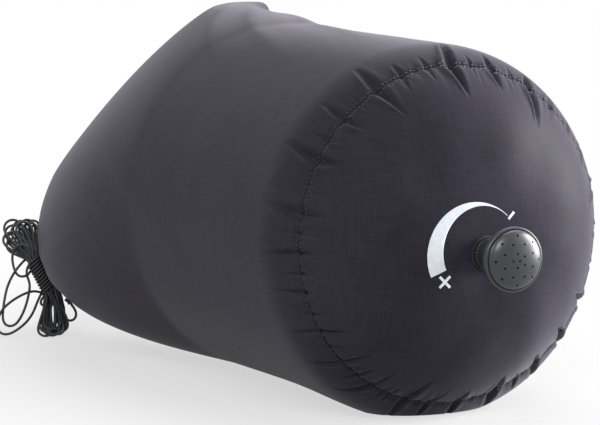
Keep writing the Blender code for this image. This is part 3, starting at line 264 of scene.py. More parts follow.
BUCKLE_ALONG = EAR_LINE * math.cos(BUCKLE_TWIST) - WIDE_LINE * math.sin(BUCKLE_TWIST)
BUCKLE_ACROSS = WIDE_LINE * math.cos(BUCKLE_TWIST) + EAR_LINE * math.sin(BUCKLE_TWIST)
BUCKLE_PLACE = ROLL_PLACE + FOLD_LINE * BUCKLE_RISE + BUCKLE_ALONG * (FEMALE_LENGTH - MALE_BASE_LENGTH) / 2

# Shower head, measured forward of the seam
NECK_RADIUS = 0.0077
COLLAR_LOW = 0.04085
NECK_TOP = 0.0522
RIM_PLACE = 0.0632
RIM_HEIGHT = 0.0020
FACE_DOME = 0.0062
SHELL_WALL = 0.0013
BOWL_POWER = 0.9
FACE_WALL = 0.0012
SPOUT_RADIUS = 0.0056
NUT_RADIUS = 0.0082
NUT_LOW = 0.03755
NUT_HEIGHT = 0.0030

# Rings of holes in the rose: how many, radius as a share of the rose's, and turn as a share of the spacing
HOLE_RINGS = ((1, 0.0, 0.0), (5, 0.22, 0.5), (8, 0.53, 0.5), (8, 0.755, 0.0))

# Printed flow scale
PRINT_SIDE = -0.0018
PRINT_LIFT = 0.0020
SCALE_START = math.radians(48.0)
SCALE_END = math.radians(204.0)
SCALE_INNER = 0.0212
SCALE_GROWTH = 0.0013
SCALE_TAIL = 0.0003
SCALE_WIDTH = 0.0089
SCALE_POWER = 2.1
SIGN_BAR = 0.0014
SIGN_LENGTH = 0.0047
PLUS_ARM = 0.0040
PLUS_TURN = math.radians(10.0)
MINUS_PLACE = math.radians(43.8)
MINUS_RADIUS = 0.0227
PLUS_PLACE = math.radians(215.6)
PLUS_RADIUS = 0.0261
PRINT_STAND = 0.00010

# View
VIEW_AZIMUTH = math.radians(-27.97)
VIEW_ELEVATION = math.radians(7.25)
VIEW_DISTANCE = 1.90
VIEW_LENS_MM = 211.5
VIEW_MIDDLE = np.array([0.0, SEAM_Y + 0.1425, AXIS_Z - 0.0010])
VIEW_SHIFT = (-0.00817, -0.0038)

# Floor: half its width, its level, and how white it looks near the bag and far off, with the two distances.
# Lamps: name, place and size of each, and the side lamp's share of the fill lamp's power
FLOOR_HALF = 6.0
FLOOR_LEVEL = -0.0003
FLOOR_WHITE = (0.62, 1.0)
FLOOR_FADE = (0.08, 0.30)
LAMPS = (("key", (1.75, -0.45, 0.60), (0.9, 1.2)), ("top", (0.50, 0.50, 1.60), (1.2, 1.2)),
         ("fill", (-0.35, -0.75, 0.60), (0.3, 0.3)), ("side", (-0.62, -0.02, 0.52), (0.16, 0.24)))
LAMP_TARGET = (0.0, 0.08, 0.09)
LAMP_TONE = (1.0, 0.98, 1.0)
SIDE_SHARE = 0.45


# Settings that a user would change

def colour_setting(name, description, default):
    """A colour that a user can choose."""
    return bpy.props.FloatVectorProperty(name=name, description=description, subtype="COLOR", size=3,
                                         min=0.0, max=1.0, default=default)


def length_setting(name, description, default, low, high):
    """A small length that a user can choose."""
    return bpy.props.FloatProperty(name=name, description=description, unit="LENGTH", precision=5,
                                   default=default, min=low, max=high)


def power_setting(name, description, default):
    """A lamp's power."""
    return bpy.props.FloatProperty(name=name, description=description, subtype="POWER", default=default,
                                   min=0.0)


class ClothSettings(bpy.types.PropertyGroup):
    """Sizes and colours of the coated nylon."""
    colour: colour_setting("Cloth colour", "Colour of the coated nylon", (0.028, 0.0265, 0.037))
    weave: length_setting("Thread pitch", "Distance from one thread of the weave to the next", 0.00042,
                          0.0001, 0.002)
    gather: bpy.props.FloatProperty(
        name="Gather", description="How deep the puckers along the base seam are, as a factor", default=1.0,
        min=0.0, max=2.0)
    stitches: bpy.props.IntProperty(
        name="Stitches", description="Number of stitches along the base seam", default=226, min=24, max=600)


class HeadSettings(bpy.types.PropertyGroup):
    """Sizes and colours of the shower head and its print."""
    colour: colour_setting("Head colour", "Colour of the moulded plastic", (0.022, 0.025, 0.030))
    ink: colour_setting("Ink colour", "Colour of the printed flow scale", (0.66, 0.71, 0.75))
    hole: length_setting("Hole radius", "Radius of each hole in the rose", 0.00056, 0.0002, 0.002)


class CordSettings(bpy.types.PropertyGroup):
    """Sizes and colours of the hanging cord."""
    colour: colour_setting("Cord colour", "Colour of the braided cord", (0.0050, 0.0064, 0.0078))
    diameter: length_setting("Cord diameter", "Diameter of the hanging cord", 0.0015, 0.0005, 0.004)


class StageSettings(bpy.types.PropertyGroup):
    """Strength of the lamps and colour of the floor."""
    floor: colour_setting("Floor colour", "Colour of the plain floor", (0.5, 0.5, 0.5))
    key: power_setting("Key lamp", "Power of the large lamp on the right", 120.0)
    top: power_setting("Top lamp", "Power of the large lamp above", 21.0)
    fill: power_setting("Fill lamp", "Power of the small lamp at the front left", 4.6)
    sky: bpy.props.FloatProperty(
        name="Sky", description="Strength of the even light from all round", default=0.03, min=0.0, max=2.0)


# Lines and meshes from arrays

def unit(vector):
    """A vector, or each vector of an array, made one long."""
    return vector / np.maximum(np.linalg.norm(vector, axis=-1, keepdims=True), 1e-12)


def run_along(points):
    """Distance of each point along the line through them."""
    return np.concatenate([[0.0], np.cumsum(np.linalg.norm(np.diff(points, axis=0), axis=1))])


def crossed(rows, columns):
    """A grid's UVs: the column's value, then the row's."""
    v, u = np.meshgrid(rows, columns, indexing="ij")
    return np.stack([u, v], axis=-1)


def round_circle(count):
    """Turns evenly round a circle."""
    return np.arange(count) * 2 * np.pi / count


def stacked(*values):
    """Values side by side along a new last axis."""
    return np.stack(values, axis=-1)


def joined(*parts):
    """Arrays one after another."""
    return np.concatenate(parts)


def mesh_from_grid(name, grid, uv=None, closed=False, flip=False, caps=False):
    """A smooth mesh over a grid of points (rows, columns, 3).

    Where the columns close on themselves, the UVs have one column more than the grid, so that a pattern runs
    on over the join. Caps close the first and last row.
    """
    rows, columns = grid.shape[:2]
    a, b = np.meshgrid(np.arange(rows - 1), np.arange(columns if closed else columns - 1), indexing="ij")
    row = stacked(a, a + 1, a + 1, a).reshape(-1, 4)
    column = stacked(b, b, b + 1, b + 1).reshape(-1, 4)
    if flip:
        row, column = row[:, ::-1], column[:, ::-1]
    corners = (row * columns + column % columns).reshape(-1)
    sizes = np.full(len(row), 4)
    if caps:
        ring = np.arange(columns)
        ends = [ring, (rows - 1) * columns + ring[::-1]]
        if flip:
            ends = [end[::-1] for end in ends]
        corners = joined(corners, *ends)
        sizes = joined(sizes, [columns, columns])
    starts = joined([0], np.cumsum(sizes)[:-1])
    mesh = bpy.data.meshes.new(name)
    mesh.vertices.add(rows * columns)
    mesh.vertices.foreach_set("co", grid.reshape(-1).astype(np.float32))
    mesh.loops.add(len(corners))
    mesh.loops.foreach_set("vertex_index", corners.astype(np.int32))
    mesh.polygons.add(len(sizes))
    mesh.polygons.foreach_set("loop_start", starts.astype(np.int32))
    mesh.polygons.foreach_set("use_smooth", np.ones(len(sizes), dtype=bool))
    mesh.update(calc_edges=True)
    if uv is not None:
        values = np.zeros((len(corners), 2))
        values[:row.size] = uv[row.reshape(-1), column.reshape(-1)]
        layer = mesh.uv_layers.new(name="surface")
        layer.data.foreach_set("uv", values.reshape(-1).astype(np.float32))
    mesh.validate()
    return mesh


def faced_mesh(name, points, faces):
    """A mesh from lists of points and faces."""
    mesh = bpy.data.meshes.new(name)
    mesh.from_pydata(points, [], faces)
    mesh.update()
    return mesh


def linked(name, data):
    """A new object for its data, in the scene."""
    obj = bpy.data.objects.new(name, data)
    bpy.context.scene.collection.objects.link(obj)
    return obj


def new_piece(mesh, material, body, replaced=()):
    """An object for a finished mesh, with its name, riding on its body and standing for its nodes."""
    obj = linked(mesh.name, mesh)
    mesh.materials.append(material)
    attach(obj, body)
    if replaced:
        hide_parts(*replaced)
    return obj


def smooth_line(points, spacing):
    """Points about a spacing apart on one smooth curve through the given points, by third powers."""
    points = np.asarray(points, dtype=float)
    ends = joined([2 * points[0] - points[1]], points, [2 * points[-1] - points[-2]])
    result = []
    for a, b, c, d in zip(ends[:-3], ends[1:-2], ends[2:-1], ends[3:]):
        count = max(1, int(round(np.linalg.norm(c - b) / spacing)))
        t = (np.arange(count) / count)[:, None]
        square, cube = 2 * a - 5 * b + 4 * c - d, 3 * b - a - 3 * c + d
        result.append((2 * b + (c - a) * t + square * t ** 2 + cube * t ** 3) / 2)
    return np.concatenate(result + [points[-1:]])


def carried_frames(line):
    """Two axes square to a line at each of its points, carried along it without twist."""
    heading = unit(np.gradient(line, axis=0))
    side = np.zeros_like(line)
    start = np.cross(heading[0], [0.0, 0.0, 1.0])
    if np.linalg.norm(start) < 0.1:
        start = np.cross(heading[0], [1.0, 0.0, 0.0])
    side[0] = unit(start)
    for k in range(1, len(line)):
        side[k] = unit(side[k - 1] - heading[k] * np.dot(side[k - 1], heading[k]))
    return side, np.cross(heading, side)


def tube(name, line, radius, sides=10):
    """A round tube along a line, with rounded ends and UVs of distance along it and round it."""
    side, up = carried_frames(line)
    heading = unit(np.gradient(line, axis=0))
    ease = np.array([0.15, 0.6, 0.9])
    bulge = np.sqrt(1.0 - ease ** 2)
    radii = joined(ease, np.ones(len(line)), ease[::-1]) * radius
    before = line[0] - heading[0] * (bulge * radius)[:, None]
    after = line[-1] + heading[-1] * (bulge[::-1] * radius)[:, None]
    middle = joined(before, line, after)
    side, up = (np.pad(axis, ((3, 3), (0, 0)), mode="edge") for axis in (side, up))
    turn = round_circle(sides)
    ring = np.cos(turn)[None, :, None] * side[:, None] + np.sin(turn)[None, :, None] * up[:, None]
    grid = middle[:, None] + ring * radii[:, None, None]
    uv = crossed(run_along(middle), np.arange(sides + 1) / sides * 2 * np.pi * radius)[..., ::-1]
    return mesh_from_grid(name, grid, uv, closed=True, flip=True, caps=True)


def lathe(name, profile, steps=112):
    """A form turned about the head's axis from a profile of radii and distances forward of the seam."""
    profile = np.asarray(profile, dtype=float)
    turn = round_circle(steps)
    radius, forward = profile[:, :1], profile[:, 1:]
    x, z = radius * np.cos(turn), HEAD_Z + radius * np.sin(turn)
    uv = crossed(run_along(profile), np.arange(steps + 1) / steps * 0.05)
    return mesh_from_grid(name, stacked(x, SEAM_Y - forward + 0.0 * turn, z), uv, closed=True)


def rounded_profile(corners, radius, steps=4):
    """A closed profile whose corners become arcs, each drawn by its own two tangents."""
    corners = np.asarray(corners, dtype=float)
    result = []
    for k, corner in enumerate(corners):
        before, after = corners[k - 1], corners[(k + 1) % len(corners)]
        reach = min(radius, 0.45 * np.linalg.norm(before - corner), 0.45 * np.linalg.norm(after - corner))
        start = corner + unit(before - corner) * reach
        end = corner + unit(after - corner) * reach
        t = np.linspace(0.0, 1.0, steps + 1)[:, None]
        result.append(start * (1 - t) ** 2 + 2 * corner * t * (1 - t) + end * t ** 2)
    return np.concatenate(result)


# Shape of the cloth

def wrapped(angle):
    """An angle brought to the range from minus to plus half a turn."""
    return (angle + np.pi) % (2 * np.pi) - np.pi


def slot_share(angle, sharpness):
    """From one to minus one round a slot: a cosine drawn out, and held at both ends by a sine."""
    return np.sin(np.pi / 2 * np.clip(sharpness * np.cos(angle), -1.0, 1.0))


def wall_base(along, angle):
    """The wall before its folds.

    A circle flattens to a slot: its half-thickness falls as one minus a power of the taper's share, its
    width grows to the mouth's, and its middle drifts sideways and up to the mouth's middle.
    """
    taper = np.clip((along - ROUND_LENGTH) / (SIDE_LENGTH - ROUND_LENGTH), 0.0, 1.0)
    near = 1.0 - np.clip(along / SHOULDER_LENGTH, 0.0, 1.0)
    radius = SEAM_RADIUS + (BAG_RADIUS - SEAM_RADIUS) * (1.0 - near ** SHOULDER_POWER)
    beside = wrapped(angle + EAR_TURN - SIDE_SWELL_TURN) / SIDE_SWELL_WIDTH
    radius = radius + SIDE_SWELL * np.exp(-beside ** 2 - (along / BELLY_LENGTH) ** 2) * (1.0 - near ** 2)
    thick = MOUTH_HALF_THICKNESS + (radius - MOUTH_HALF_THICKNESS) * (1.0 - taper ** THICK_POWER)
    ease = 1.0 - (1.0 - taper) ** WIDTH_POWER
    turn = np.cos(angle)
    swell = np.where(turn > 0.0, UPPER_EAR_SWELL, LOWER_EAR_SWELL) * turn ** 2 * np.sin(np.pi * taper)
    wide = radius + (MOUTH_HALF_WIDTH - radius) * ease + swell
    run = (wide - thick) * slot_share(angle, 1.0 + SLOT_SHARPNESS * taper) + thick * np.cos(angle)
    depth = thick * np.sin(angle)
    drift = MOUTH_SIDE_SHIFT * taper ** DRIFT_POWER + MIDDLE_SIDE_SHIFT * np.sin(np.pi * taper)
    lift = MOUTH_LIFT * taper ** LIFT_POWER
    x = drift + EAR_LINE[0] * run + THIN_LINE[0] * depth
    z = AXIS_Z + lift + EAR_LINE[2] * run + THIN_LINE[2] * depth
    low = np.clip((AXIS_Z - z) / BAG_RADIUS, 0.0, 1.0)
    z = z - BELLY_DROP * np.exp(-((along - BELLY_PLACE) / BELLY_LENGTH) ** 2) * (1.0 - near) * low ** 3
    y = SEAM_Y + along + math.tan(ROLL_DROOP) * depth * taper ** SLANT_POWER
    return stacked(x, y, z)


def wall_normal(along, angle, step):
    """The wall's outward normal before its folds, from points a step apart."""
    ahead = wall_base(np.minimum(along + step, SIDE_LENGTH), angle)
    behind = wall_base(np.maximum(along - step, 0.0), angle)
    round_it = wall_base(along, angle + step) - wall_base(along, angle - step)
    return unit(np.cross(ahead - behind, round_it))


def panel_share(radius):
    """Share of the way from the panel's flat middle to its seam."""
    return np.clip((radius - PANEL_FLAT_RADIUS) / (SEAM_RADIUS - PANEL_FLAT_RADIUS), 0.0, 1.0)


def panel_height(radius):
    """How far the panel stands forward of the seam at a distance from its middle.

    The height is one minus a power of the distance's share, raised to a second power, cut off a little before
    the share where it would meet the seam upright.
    """
    low = (1.0 - PANEL_RIM_SHARE ** DOME_POWER) ** DOME_ROUND
    dome = (1.0 - (PANEL_RIM_SHARE * panel_share(radius)) ** DOME_POWER) ** DOME_ROUND
    return PANEL_HEIGHT * (dome - low) / (1.0 - low)


def panel_base(radius, angle):
    """The panel before its folds: a dome, flat round the head, whose middle lies a little low."""
    middle = HEAD_Z + (AXIS_Z - HEAD_Z) * panel_share(radius) ** 2
    x, z = radius * np.cos(angle), middle + radius * np.sin(angle)
    return stacked(x, SEAM_Y - panel_height(radius), z)


def fold_section(u):
    """Section across a pucker: a valley with straight flanks and a sharp bottom, between two unequal lips."""
    depth = np.maximum(FLANK_HEIGHT - np.sqrt(u ** 2 + BOTTOM_ROUNDING), 0.0)
    for height, place, half in LIPS:
        depth = depth - height * np.exp(-((u - place) / half) ** 2)
    return depth


def small_gathers():
    """Many shallow puckers between the large ones, in their terms: evenly spread, then shifted by chance."""
    chance = np.random.default_rng(SMALL_SEED)
    count = SMALL_PUCKERS
    place = (np.arange(count) + chance.uniform(-SMALL_SHIFT, SMALL_SHIFT, count)) * 360.0 / count
    depth = chance.uniform(*SMALL_DEPTH, count) * (0.75 + 0.25 * np.cos(np.radians(place - 200.0)))
    half = chance.uniform(*SMALL_HALF_WIDTH, count)
    wall_length = chance.uniform(*SMALL_WALL_LENGTH, count)
    panel_length = chance.uniform(*SMALL_PANEL_LENGTH, count)
    lean = chance.uniform(-SMALL_LEAN, SMALL_LEAN, (2, count))
    return stacked(place, depth, half, wall_length, panel_length, *lean)


ALL_PUCKERS = joined(PUCKERS, small_gathers())


def gathers(turn, away, over_wall, gain):
    """Depth of the cloth under its smooth form: the sum of the puckers' valleys.

    Each valley is deepest at the seam and narrows and fades along its crease to nothing at its length.
    """
    total = np.zeros(np.broadcast(turn, away).shape)
    for place, depth, half, wall_length, panel_length, wall_lean, panel_lean in ALL_PUCKERS:
        run, lean = (wall_length, wall_lean) if over_wall else (panel_length, panel_lean)
        share = np.clip(away / (run / 1000), 0.0, 1.0)
        crease = np.radians(place + lean * share)
        width = np.radians(half) * (1.0 - PUCKER_NARROWING * share)
        total += depth / 1000 * fold_section(wrapped(turn - crease) / width) * (1.0 - share) ** PUCKER_FADE
    return total * gain


def gathered_turns(columns):
    """Turns of the grid's columns: evenly spread, but three times as dense at the large puckers."""
    table = np.linspace(0.0, 2 * np.pi, 7201)
    apart = wrapped(table[:, None] - np.radians(PUCKERS[:, 0])[None, :])
    density = 1.0 + PUCKER_DENSITY * np.exp(-(apart / PUCKER_DENSE_HALF) ** 2).sum(axis=1)
    reach = joined([0.0], np.cumsum((density[1:] + density[:-1]) / 2))
    return np.interp(np.linspace(0.0, reach[-1], columns + 1), reach, table)


def long_folds(along, turn, table):
    """Height of the long soft folds: ridges with round sections along straight lines over the wall."""
    total = np.zeros(np.broadcast(along, turn).shape)
    for start, end, first, last, height, half in table:
        inside = np.clip((start - along) / (start - end), 0.0, 1.0)
        line = np.radians(first + (last - first) * inside)
        aside = wrapped(turn - line) * BAG_RADIUS * 1000 / half
        total += height / 1000 * np.exp(-aside ** 2) * np.sin(np.pi * inside) ** 0.8
    return total


def sunk(depth, away, turn, normal):
    """How the cloth moves under its smooth form: with the gathers near the seam, and square in further off.

    The gathers draw the seam in towards the axis and a little back along it. The thread draws a groove, shaped
    as a bell curve of the distance from the seam.
    """
    pull = PULL_BACK * BAG_LINE - PULL_IN * stacked(np.cos(turn), 0.0 * turn, np.sin(turn))
    at_seam = np.exp(-(away / SEAM_REACH) ** 2)[..., None]
    groove = GROOVE_DEPTH * np.exp(-(away / GROOVE_WIDTH) ** 2)
    crease = depth[..., None] * CREASE_GAIN * (1.0 - at_seam)
    return (depth + groove)[..., None] * at_seam * pull - crease * normal


def wall_point(along, angle, gain):
    """The wall's surface: its base, pushed in at the puckers and out at the long folds."""
    base = wall_base(along, angle)
    normal = wall_normal(along, angle, SURFACE_STEP)
    turn = angle + EAR_TURN
    away = wall_run(along)
    depth = gathers(turn, away, True, gain)
    height = long_folds(along, turn, DRAPES) + long_folds(along, turn, CREASES)
    grid = base + sunk(depth, away, turn, normal) + height[..., None] * normal
    grid[..., 2] = np.maximum(grid[..., 2], 0.0)
    return grid


def wall_run(along):
    """Distance over the wall from the seam, which the shoulder's rounding makes longer than along the axis."""
    table = np.linspace(0.0, 1.0, 200) ** 2 * SIDE_LENGTH
    near = table < ROUND_LENGTH
    run = run_along(wall_base(table, np.zeros(200)))
    straight = run[near][-1] + (table - table[near][-1])
    return np.interp(along, table, np.where(near, run, straight))


def panel_run(radius):
    """Distance over the panel from the seam."""
    table = SEAM_RADIUS * (1.0 - np.linspace(0.0, 1.0, 400) ** 2)
    return np.interp(-radius, -table, run_along(stacked(table, panel_height(table))))


def panel_point(radius, angle, gain, stand=0.0):
    """The panel's surface, pushed in at its puckers, or a layer that stands proud of it."""
    step = SURFACE_STEP
    base = panel_base(radius, angle)
    outer = np.minimum(radius + step, SEAM_RADIUS)
    inner = np.maximum(radius - step, 0.001)
    across = panel_base(radius, angle + step) - panel_base(radius, angle - step)
    normal = unit(np.cross(panel_base(outer, angle) - panel_base(inner, angle), across))
    away = panel_run(radius)
    depth = gathers(angle, away, False, gain)
    return base + sunk(depth, away, angle, normal) + (stand + panel_soft(radius, angle))[..., None] * normal


def panel_soft(radius, angle):
    """Slow swells of the panel: a little slack towards the rim and none at the head."""
    share = np.clip((radius - SLACK_START) / (SEAM_RADIUS - SLACK_START), 0.0, 1.0)
    waves = np.sin(5 * angle + 0.7) + 0.6 * np.sin(9 * angle + 2.1 + 3 * share)
    return SLACK_HEIGHT * np.sin(np.pi * share) ** 2 * waves


def wall_grid(rows, columns, gain):
    """Points and UVs of the whole wall: the hem turned in at the seam, the wall, and its end in the roll."""
    near = rows * 3 // 8
    shoulder = SHOULDER_LENGTH * np.linspace(0.0, 1.0, near) ** WALL_CROWDING
    reach = 2 * SHOULDER_LENGTH
    middle = np.linspace(SHOULDER_LENGTH, reach, rows // 8)[1:]
    far = np.linspace(reach, SIDE_LENGTH, rows - near - len(middle) + 1)[1:]
    along = joined(shoulder, middle, far)
    angle = gathered_turns(columns) - EAR_TURN
    s, a = np.meshgrid(along, angle[:-1], indexing="ij")
    grid = wall_point(s, a, gain)
    grid = joined(hem_rows(grid[0], HEM_STAND), grid, pinch_rows(grid[-1]))
    run = joined(-np.array(HEM_RUN), wall_run(along), SIDE_LENGTH + np.array(PINCH_RUN))
    return grid, crossed(run, angle * BAG_RADIUS)


def hem_rows(edge, back):
    """The raw edge turned in at the seam: three rows towards the axis, the innermost first."""
    inward = np.array([0.0, SEAM_Y, AXIS_Z]) - edge
    inward[:, 1] = 0.0
    inward = unit(inward)
    step = np.array([0.0, back, 0.0])
    return np.stack([edge + inward * place + step * share
                     for place, share in zip(HEM_PLACES, (1.0, 1.0, 0.5))])


def pinch_rows(edge):
    """The mouth pressed flat: the last rows close to a thin slot as they run up into the roll."""
    away = edge - MOUTH_PLACE
    run = away @ EAR_LINE
    wide = away @ WIDE_LINE
    rows = []
    for share in PINCH_SHARES:
        flat = (wide * (1.0 - PINCH_FLATTENING * share ** PINCH_POWER))[:, None] * WIDE_LINE
        ears = run[:, None] * EAR_LINE * (1.0 - PINCH_NARROWING * share)
        rows.append(MOUTH_PLACE + ears + flat + FOLD_LINE * (PINCH_LENGTH * share))
    return np.stack(rows)


def panel_grid(rows, columns, gain):
    """Points and UVs of the whole panel: the hem turned in, then the dome down to the hole."""
    share = np.linspace(0.0, 1.0, rows) ** PANEL_CROWDING
    radius = SEAM_RADIUS - (SEAM_RADIUS - PANEL_HOLE) * share
    angle = gathered_turns(columns)
    r, a = np.meshgrid(radius, angle[:-1], indexing="ij")
    grid = panel_point(r, a, gain)
    grid = joined(hem_rows(grid[0], -HEM_STAND), grid)
    radius = joined(SEAM_RADIUS - np.array(HEM_RUN), radius)
    r, a = np.meshgrid(radius, angle, indexing="ij")
    return grid, stacked(r * np.cos(a), r * np.sin(a))


# Materials

# The scale at which a wave texture has one band per unit
ONE_BAND = 0.314159


def node(tree, kind, sockets=None, **settings):
    """A shader node with its settings. Each socket, by name or number, gets a value or a node's output."""
    made = tree.nodes.new("ShaderNode" + kind)
    for key, value in settings.items():
        setattr(made, key, value)
    for key, value in (sockets or {}).items():
        if isinstance(value, bpy.types.NodeSocket):
            tree.links.new(value, made.inputs[key])
        else:
            made.inputs[key].default_value = value
    return made


def new_material(name, **sockets):
    """A material with one Principled shader whose sockets are set by name."""
    made = bpy.data.materials.new(name)
    made.use_nodes = True
    shader = made.node_tree.nodes["Principled BSDF"]
    for key, value in sockets.items():
        shader.inputs[key.replace("_", " ")].default_value = value
    return made, made.node_tree, shader


def finished(made, tree, shader, colour, normal, roughness=None):
    """The material with its shader's colour, normal and, where given, roughness linked."""
    for name, output in (("Base Color", colour), ("Normal", normal), ("Roughness", roughness)):
        if output is not None:
            tree.links.new(output, shader.inputs[name])
    return made


def tint(colour, factor):
    """A colour made lighter or darker."""
    return tuple(min(c * factor, 1.0) for c in colour)


def colour_ramp(tree, value, colour, factors, places):
    """A colour that runs from one tint to another as a value passes two places."""
    ramp = node(tree, "ValToRGB", {"Fac": value})
    for element, factor, place in zip(ramp.color_ramp.elements, factors, places):
        element.position = place
        element.color = (*tint(colour, factor), 1.0)
    return ramp.outputs["Color"]


def ranged(tree, value, low, high, first=0.0, last=1.0, **settings):
    """A value carried from one range to another."""
    sockets = {"Value": value, "From Min": first, "From Max": last, "To Min": low, "To Max": high}
    return node(tree, "MapRange", sockets, **settings).outputs["Result"]


def maths(tree, operation, first, second):
    """Two values worked into one by an operation."""
    return node(tree, "Math", {0: first, 1: second}, operation=operation).outputs["Value"]


def multiplied(tree, share, first, second):
    """One colour multiplied by another, by a share."""
    sockets = {0: share, 6: first, 7: second}
    return node(tree, "Mix", sockets, data_type="RGBA", blend_type="MULTIPLY").outputs[2]


def bump(tree, height, distance, strength, under=None):
    """A normal bent by a height, over another normal where one is given."""
    sockets = {"Strength": strength, "Distance": distance, "Height": height}
    if under is not None:
        sockets["Normal"] = under
    return node(tree, "Bump", sockets).outputs["Normal"]


def noise(tree, place, scale, detail, roughness=0.5, distortion=0.0):
    """Soft noise over a place."""
    sockets = {"Vector": place, "Scale": scale, "Detail": detail, "Roughness": roughness,
               "Distortion": distortion}
    return node(tree, "TexNoise", sockets).outputs["Fac"]


def bands(tree, place, scale, direction="X"):
    """Round ridges across a direction."""
    return node(tree, "TexWave", {"Vector": place, "Scale": scale, "Distortion": 0.0}, wave_type="BANDS",
                bands_direction=direction, wave_profile="SIN").outputs["Fac"]


def moved(tree, place, **sockets):
    """A place scaled, turned or shifted."""
    return node(tree, "Mapping", {"Vector": place, **sockets}).outputs["Vector"]


def surface_place(tree):
    """The place on a piece's own UVs."""
    return node(tree, "UVMap", uv_map="surface").outputs["UV"]


def object_place(tree):
    """The place in the frame."""
    return node(tree, "TexCoord").outputs["Object"]


def nylon(name, colour, pitch):
    """Coated nylon: a plain weave on the surface's own UVs, slow changes of tone, and fine wrinkles."""
    parts = new_material(name, Roughness=0.46, Sheen_Weight=0.16, Sheen_Roughness=0.45,
                         Specular_IOR_Level=0.026, Specular_Tint=(0.92, 0.90, 1.0, 1.0),
                         Sheen_Tint=(0.86, 0.84, 0.95, 1.0))
    tree = parts[1]
    surface, place = surface_place(tree), object_place(tree)
    weave = maths(tree, "MULTIPLY", *(bands(tree, surface, ONE_BAND / pitch * 0.5, way) for way in "XY"))
    tone = noise(tree, place, 14.0, 5.0, 0.55)
    plain = colour_ramp(tree, tone, colour, (0.86, 1.14), (0.35, 0.65))
    woven = multiplied(tree, 1.0, multiplied(tree, 0.22, plain, weave), thread_noise(tree, surface))
    wrinkle = noise(tree, place, 55.0, 4.0, 0.5, 0.6)
    rise = bump(tree, weave, 0.00004, 0.35, bump(tree, wrinkle, 0.00045, 0.5))
    return finished(*parts, woven, rise, ranged(tree, tone, 0.42, 0.54))


def thread_noise(tree, surface):
    """Uneven threads: noise drawn out along the warp times noise drawn out along the weft, about one."""
    drawn = (moved(tree, surface, Scale=scale) for scale in ((900.0, 70.0, 1.0), (70.0, 900.0, 1.0)))
    levels = (ranged(tree, noise(tree, place, 1.0, 2.0), 0.90, 1.10, 0.3, 0.7) for place in drawn)
    return maths(tree, "MULTIPLY", *levels)


def moulded(name, colour, roughness, grain=0.00002, scale=900.0):
    """Moulded plastic: a fine grain, and gloss that changes a little over the piece."""
    parts = new_material(name, Roughness=roughness)
    tree = parts[1]
    place = object_place(tree)
    tone = noise(tree, place, 60.0, 4.0)
    shade = colour_ramp(tree, tone, colour, (0.88, 1.12), (0.3, 0.7))
    rise = bump(tree, noise(tree, place, scale, 2.0), grain, 0.6)
    return finished(*parts, shade, rise, ranged(tree, tone, roughness - 0.05, roughness + 0.07))


def braided(name, colour, pitch, sheen=0.12):
    """Braided cord or thread: two crossing sets of slanted strands on the piece's own UVs."""
    parts = new_material(name, Roughness=0.62, Sheen_Weight=sheen, Sheen_Roughness=0.4)
    tree = parts[1]
    surface = surface_place(tree)
    turned = (moved(tree, surface, Rotation=(0.0, 0.0, turn), Scale=(1.0 / pitch, 1.0 / pitch, 1.0))
              for turn in (math.pi / 4, -math.pi / 4))
    both = maths(tree, "MAXIMUM", *(bands(tree, place, ONE_BAND) for place in turned))
    shade = colour_ramp(tree, both, colour, (0.55, 1.5), (0.2, 0.95))
    return finished(*parts, shade, bump(tree, both, 0.00012, 0.7))


def webbing(name, colour):
    """Woven webbing: ribs along and across the tab on its own UVs."""
    parts = new_material(name, Roughness=0.68, Sheen_Weight=0.3, Sheen_Roughness=0.4)
    tree = parts[1]
    surface = surface_place(tree)
    ribs, picks = bands(tree, surface, ONE_BAND / 0.0011), bands(tree, surface, ONE_BAND / 0.0007, "Y")
    both = maths(tree, "MULTIPLY", ribs, picks)
    shade = colour_ramp(tree, both, colour, (0.6, 1.6), (0.1, 0.9))
    return finished(*parts, shade, bump(tree, both, 0.00018, 0.8))


def printed(name, colour):
    """Screen-printed ink: nearly even, slightly worn and rough."""
    parts = new_material(name, Roughness=0.5)
    tree = parts[1]
    wear = noise(tree, object_place(tree), 260.0, 6.0, 0.7)
    shade = colour_ramp(tree, wear, colour, (0.9, 1.05), (0.3, 0.6))
    return finished(*parts, shade, bump(tree, wear, 0.00002, 0.5))


# Hanging cord. Its hank is laid out on a leaning sheet: millimetres to the right, up the sheet, and off it
# towards the viewer, from the top of the hank's waist
KNOT_PLACE = np.array([-0.0236, 0.3448, 0.0599])
HITCH_PLACE = ROLL_PLACE - EAR_LINE * (ROLL_STRAIGHT + ROLL_BEND_RADIUS) + FOLD_LINE * ROLL_BEND_RADIUS
SHEET_PLACE = np.array([-0.0676, 0.2672, 0.0417])
SHEET_LEAN = 0.80
LEAD = np.array([
    (-0.0272, 0.3409, 0.0586), (-0.032, 0.335, 0.054), (-0.037, 0.325, 0.05), (-0.043, 0.313, 0.049),
    (-0.05, 0.3, 0.049)])

# The cord's points' spacing, the braid's pitch, the knots' radii, and the hitch: its points' spacing, its stand
# off the roll, its opening and how flat it lies
CORD_STEP = 0.0012
BRAID_PITCH = 0.00075
END_KNOT_RADIUS = 0.0017
HITCH_KNOT_RADIUS = 0.0019
HITCH_STEP = 0.0011
HITCH_STAND = 0.0004
HITCH_OPENING = math.radians(37.0)
HITCH_SHARPNESS = 1.6

# A knot's curve: how wide its weave is beside its round, and how deep it is
KNOT_WEAVE = 1.6
KNOT_DEPTH = 0.62

